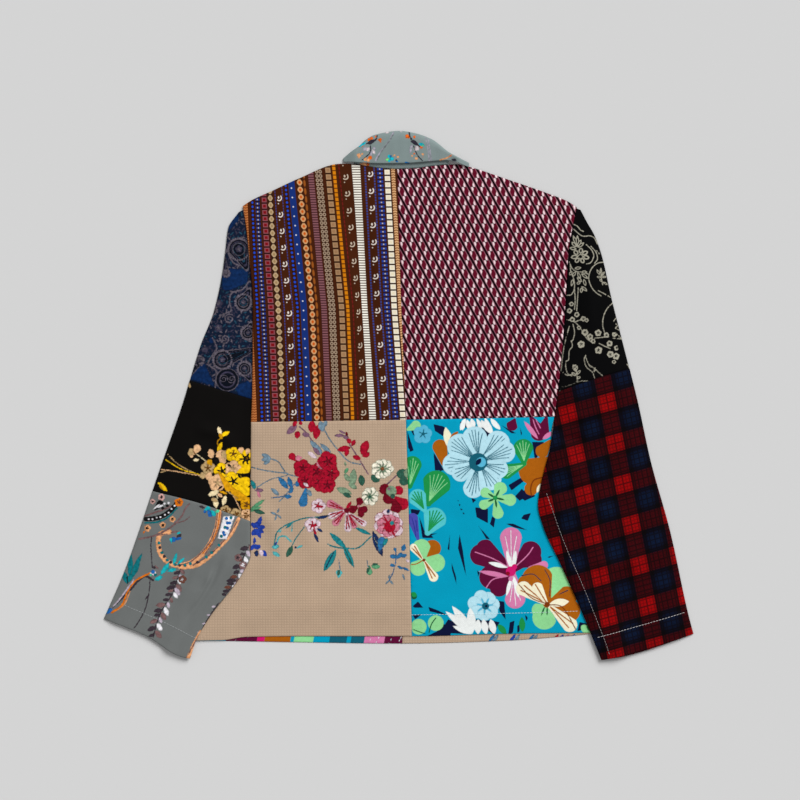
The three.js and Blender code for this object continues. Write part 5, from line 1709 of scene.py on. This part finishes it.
def paisley_texture():
    """Small rings and leaves all over, and the plain blue places between the large motifs."""
    random = np.random.default_rng(21)
    motifs = []
    for row in range(42):
        for column in range(18):
            x = -296 + 6.4 * column + 3.2 * (row % 2) + random.uniform(-1.2, 1.2)
            y = 258 - 6.6 * row + random.uniform(-1.2, 1.2)
            angle, ink = random.uniform(0, math.pi), ("mauve", "teal", "tan")[random.integers(0, 3)]
            dx, dy = 3.1 * math.cos(angle), 3.1 * math.sin(angle)
            motifs.append((f"leaf {ink}", (x - dx, y - dy, x + dx, y + dy, 2.0)))
            motifs.append(("disc mauve", (x + dy, y - dx, 0.9)))
    return motifs + [
        ("shard blue", (-238, 182, -228, 171, -203, 170, -204, 152, -226, 142, -238, 142),
         (-275, 42, -262, 44, -247, 12, -282, 22), (-222, 12, -198, 22, -197, -8, -214, -4)),
        ("petal blue", (-232, 222, -220, 246, 16)), ("disc blue", (-252, 74, 4)),
    ]


# ---- Stage ----

VIEW_CENTRE = (1.75 * MM, -6.3 * MM)
VIEW_WIDTH = 1.08
LENS, SENSOR = 90.0, 36.0
FLOOR_SIZE = 14.0


def soft_sun(direction, width, strength):
    """A wide soft light, the same all over the floor, from a direction."""
    lamp = bpy.data.lights.new("soft light", "SUN")
    lamp.angle, lamp.energy = math.radians(width), strength
    light = add_object("soft light", lamp)
    light.rotation_euler = Vector(direction).to_track_quat("Z", "Y").to_euler()


def build_stage():
    scene = bpy.context.scene
    scene.view_settings.view_transform = "Standard"
    bm = bmesh.new()
    bmesh.ops.create_grid(bm, x_segments=1, y_segments=1, size=FLOOR_SIZE / 2)
    bmesh.ops.translate(bm, verts=bm.verts, vec=(0, 0, -0.0002))
    floor = add_object("floor", mesh_from(bm, "floor"))
    shade = (*[scene.jacket.floor_shade] * 3, 1)
    floor.data.materials.append(plain_material("pale floor", shade, 0.95, 0.1))
    world = bpy.data.worlds.new("studio")
    world.use_nodes = True
    background = world.node_tree.nodes["Background"]
    background.inputs[0].default_value = (1, 1, 1, 1)
    background.inputs[1].default_value = scene.jacket.room_light
    scene.world = world
    soft_sun((0.7, 0.9, 0.9), 35, scene.jacket.key_light)
    lens = bpy.data.cameras.new("camera")
    lens.lens, lens.sensor_width = LENS, SENSOR
    scene.camera = add_object("camera", lens)
    scene.camera.location = (*VIEW_CENTRE, VIEW_WIDTH * LENS / SENSOR)


# ---- Add-on ----


def colour_setting(name, hex_colour):
    """A setting for the ground colour of one cloth."""
    return FloatVectorProperty(name=name, description=f"Ground colour of the {name.lower()} cloth",
                               subtype="COLOR", min=0, max=1, default=linear(hex_colour)[:3])


def length_setting(name, description, millimetres):
    return FloatProperty(name=name, description=description, default=millimetres * MM, unit="LENGTH")


class JacketSettings(bpy.types.PropertyGroup):
    crown: length_setting("Crown", "Air under the back at its middle", 3.0)
    puff: length_setting("Puff", "Air inside a sleeve", 2.2)
    folds: FloatProperty(name="Folds", description="Strength of the soft folds", default=3.0)
    key_light: FloatProperty(name="Key light", description="Strength of the soft light", default=3.2)
    room_light: FloatProperty(name="Room light", description="Strength of the light all round", default=0.43)
    floor_shade: FloatProperty(name="Floor", description="How pale the floor is", default=0.62)
    beige: colour_setting("Beige", "#b89f87")
    turquoise: colour_setting("Turquoise", "#009abc")
    navy: colour_setting("Navy", "#0e1a30")
    black: colour_setting("Black", "#0c0a09")
    grey: colour_setting("Grey", "#6b6e6d")
    jet: colour_setting("Jet", "#040405")
    sage: colour_setting("Sage", "#7e8c8b")


class JACKET_OT_stage(bpy.types.Operator):
    """Sets up the floor, the light and the camera over the jacket"""

    bl_idname = "jacket.stage"
    bl_label = "Stage"

    def execute(self, context):
        build_stage()
        return {"FINISHED"}


class JACKET_OT_groups(bpy.types.Operator):
    """Makes the node groups that the cloths share"""

    bl_idname = "jacket.groups"
    bl_label = "Shared Effects"

    def execute(self, context):
        weave_group()
        dye_group()
        return {"FINISHED"}


class JACKET_OT_body(bpy.types.Operator):
    """Makes the four backs and the four fronts"""

    bl_idname = "jacket.body"
    bl_label = "Body"

    def execute(self, context):
        stripe = cloth_material("striped brown cotton", stripe_paint, thread=0.45)
        burgundy = cloth_material("burgundy leaf cloth", burgundy_paint, thread=0.45)
        beige = cloth_material("beige waffle weave", printed("beige", BOUQUET_INKS, 0.35, 0.8), waffle=3.6)
        turquoise = cloth_material("turquoise floral cotton", printed("turquoise", TROPICAL_INKS, 0.06, 0.3))
        pieces = (
            (front_piece, "left", "upper", 5, "burgundy_leaf", burgundy, ()),
            (front_piece, "right", "upper", 5, "stripe_print", stripe, ()),
            (front_piece, "left", "lower", 2, "turquoise_floral", turquoise, (TROPICAL_INKS, TROPICAL_HEM)),
            (front_piece, "right", "lower", 2, "beige_bouquet", beige, (BOUQUET_INKS, BOUQUET_HEM)),
            (back_piece, "left", "upper", 1.6, "stripe_print", stripe, ()),
            (back_piece, "right", "upper", 1.6, "burgundy_leaf", burgundy, ()),
            (back_piece, "left", "lower", 1.0, "beige_bouquet", beige, (BOUQUET_INKS, BOUQUET)),
            (back_piece, "right", "lower", 1.0, "turquoise_floral", turquoise,
             (TROPICAL_INKS, TROPICAL_GROUND, TROPICAL)),
        )
        for make, side, level, step, slot, material, prints in pieces:
            sheet = make(side, level, step)
            if prints:
                print_on(sheet, *prints)
            finish(sheet, slot, material)
        return {"FINISHED"}


class JACKET_OT_left_sleeve(bpy.types.Operator):
    """Makes the left sleeve's three cloths"""

    bl_idname = "jacket.left_sleeve"
    bl_label = "Left Sleeve"

    def execute(self, context):
        paisley = cloth_material("navy paisley", printed("navy", PAISLEY_INKS, 0.35, 0.9))
        black = cloth_material("black blossom cotton", printed("black", BLOSSOM_INKS, 0.3, 0.9))
        grey = cloth_material("grey scroll cotton", printed("grey", SCROLL_INKS, 0.3, 0.9))
        pieces = (
            ("upper", SLEEVE_HEAD_LEFT, PAISLEY_SEAM, (247, 20), (250, -8), "navy_paisley", paisley,
             PAISLEY_INKS, paisley_texture(), PAISLEY),
            ("middle", PAISLEY_SEAM, GREY_SEAM, (20, -129), (-8, -170), "black_blossom", black,
             BLOSSOM_INKS, BLOSSOM),
            ("lower", GREY_SEAM, LEFT_CUFF, (-129, -301.5), (-170, -355), "grey_scroll", grey,
             SCROLL_INKS, SCROLL),
        )
        for level, head, foot, outer, inner, slot, material, *prints in pieces:
            sheet = sleeve_piece("left", level, sleeve_patch("left", head, foot, outer, inner), 0.9)
            print_on(sheet, *prints)
            finish(sheet, slot, material)
        return {"FINISHED"}


class JACKET_OT_right_sleeve(bpy.types.Operator):
    """Makes the right sleeve's two cloths"""

    bl_idname = "jacket.right_sleeve"
    bl_label = "Right Sleeve"

    def execute(self, context):
        botanical = cloth_material("black line floral", printed("jet", LINE_FLORAL_INKS, 0.1, 0.4, 0.0))
        plaid = cloth_material("red plaid flannel", plaid_paint, thread=1.1, relief=0.3, dye=0.45, fleck=0.5)
        patch = sleeve_patch("right", SLEEVE_HEAD_RIGHT, PLAID_SEAM, (250, 36), (252, 4.5))
        upper = sleeve_piece("right", "upper", patch, 0.8)
        print_on(upper, LINE_FLORAL_INKS, LINE_FLORAL)
        finish(upper, "black_line_floral", botanical)
        patch = sleeve_patch("right", PLAID_SEAM, RIGHT_CUFF, (36, -322), (4.5, -357))
        finish(sleeve_piece("right", "lower", patch, 2.0), "red_plaid", plaid)
        return {"FINISHED"}


class JACKET_OT_collar(bpy.types.Operator):
    """Makes the collar's stand and fall"""

    bl_idname = "jacket.collar"
    bl_label = "Collar"

    def execute(self, context):
        material = cloth_material("grey-green collar cotton", printed("sage", COLLAR_INKS, 0.3, 0.7))
        for sheet in (collar_stand(), collar_fall()):
            print_on(sheet, COLLAR_INKS, TWIGS)
            finish(sheet, "collar_floral", material)
        return {"FINISHED"}


# Each row of stitches: its face and cloth slot, its thread, and its places in millimetres.
STITCH_ROWS = {
    "left_cuff": (left_sleeve_top, "grey_scroll", "#a8aaac", (-369, -283, -320, -304, -272, -328)),
    "right_cuff": (right_sleeve_top, "red_plaid", "#d8d4d2", (268, -326, 330, -309, 388, -292)),
    "right_underarm": (right_sleeve_top, "red_plaid", "#a8a2a2",
                       (199, -132, 223, -199, 249, -259, 275, -324, 284, -350)),
    "hem_right": (back_top, "turquoise_floral", "#d4e4e8", (17, -296, 136, -294, 243, -291)),
    "hem_left": (back_top, "beige_bouquet", "#c4ab92", (-236, -287, -120, -290, 11, -295)),
}
STITCH, STITCH_GAP, THREAD = 2.8, 1.3, 0.25


def thread_row(name, top, slot, thread, numbers):
    """One row of stitches, as short threads that lie on the cloth."""
    path = np.array(smooth_path(pairs(numbers), 24))
    reached = np.concatenate([[0], np.cumsum(np.hypot(*np.diff(path, axis=0).T))])
    starts = np.arange(0, reached[-1] - STITCH, STITCH + STITCH_GAP)
    bm = bmesh.new()
    for ends in zip(starts, starts + STITCH):
        x, y = (np.interp(ends, reached, path[:, i]) for i in (0, 1))
        first, last = (Vector(p) * MM for p in zip(x, y, top(x, y) + THREAD * 0.5))
        turn = (last - first).to_track_quat("Z", "Y").to_matrix().to_4x4()
        bmesh.ops.create_cone(
            bm, cap_ends=True, segments=6, radius1=THREAD * MM, radius2=THREAD * MM,
            depth=(last - first).length, matrix=Matrix.Translation((first + last) / 2) @ turn)
    piece = add_object(f"stitches_{name}", mesh_from(bm, f"stitches_{name}"))
    piece.data.materials.append(plain_material(f"thread {thread}", linear(thread), 0.8, 0.5))
    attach(piece, "root")


class JACKET_OT_stitching(bpy.types.Operator):
    """Sews the rows of stitches along the hem, the cuffs and the right underarm"""

    bl_idname = "jacket.stitching"
    bl_label = "Stitching"

    def execute(self, context):
        for name, row in STITCH_ROWS.items():
            thread_row(name, *row)
        return {"FINISHED"}


class JACKET_PT_panel(bpy.types.Panel):
    """The jacket's parts, in the order in which they are made"""

    bl_label = "Patchwork Jacket"
    bl_idname = "JACKET_PT_panel"
    bl_space_type = "VIEW_3D"
    bl_region_type = "UI"
    bl_category = "Jacket"

    def draw(self, context):
        for operator in OPERATORS:
            self.layout.operator(operator.bl_idname)
        for name in JacketSettings.__annotations__:
            self.layout.prop(context.scene.jacket, name)


OPERATORS = (
    JACKET_OT_groups, JACKET_OT_stage, JACKET_OT_body, JACKET_OT_left_sleeve, JACKET_OT_right_sleeve,
    JACKET_OT_collar, JACKET_OT_stitching,
)
CLASSES = (JacketSettings, *OPERATORS, JACKET_PT_panel)


def register():
    for added in CLASSES:
        bpy.utils.register_class(added)
    bpy.types.Scene.jacket = PointerProperty(type=JacketSettings)


def unregister():
    del bpy.types.Scene.jacket
    for added in reversed(CLASSES):
        bpy.utils.unregister_class(added)


def main():
    register()
    for operator in OPERATORS:
        name = operator.bl_idname.split(".")[1]
        getattr(bpy.ops.jacket, name)()


if __name__ == "__main__":
    main()
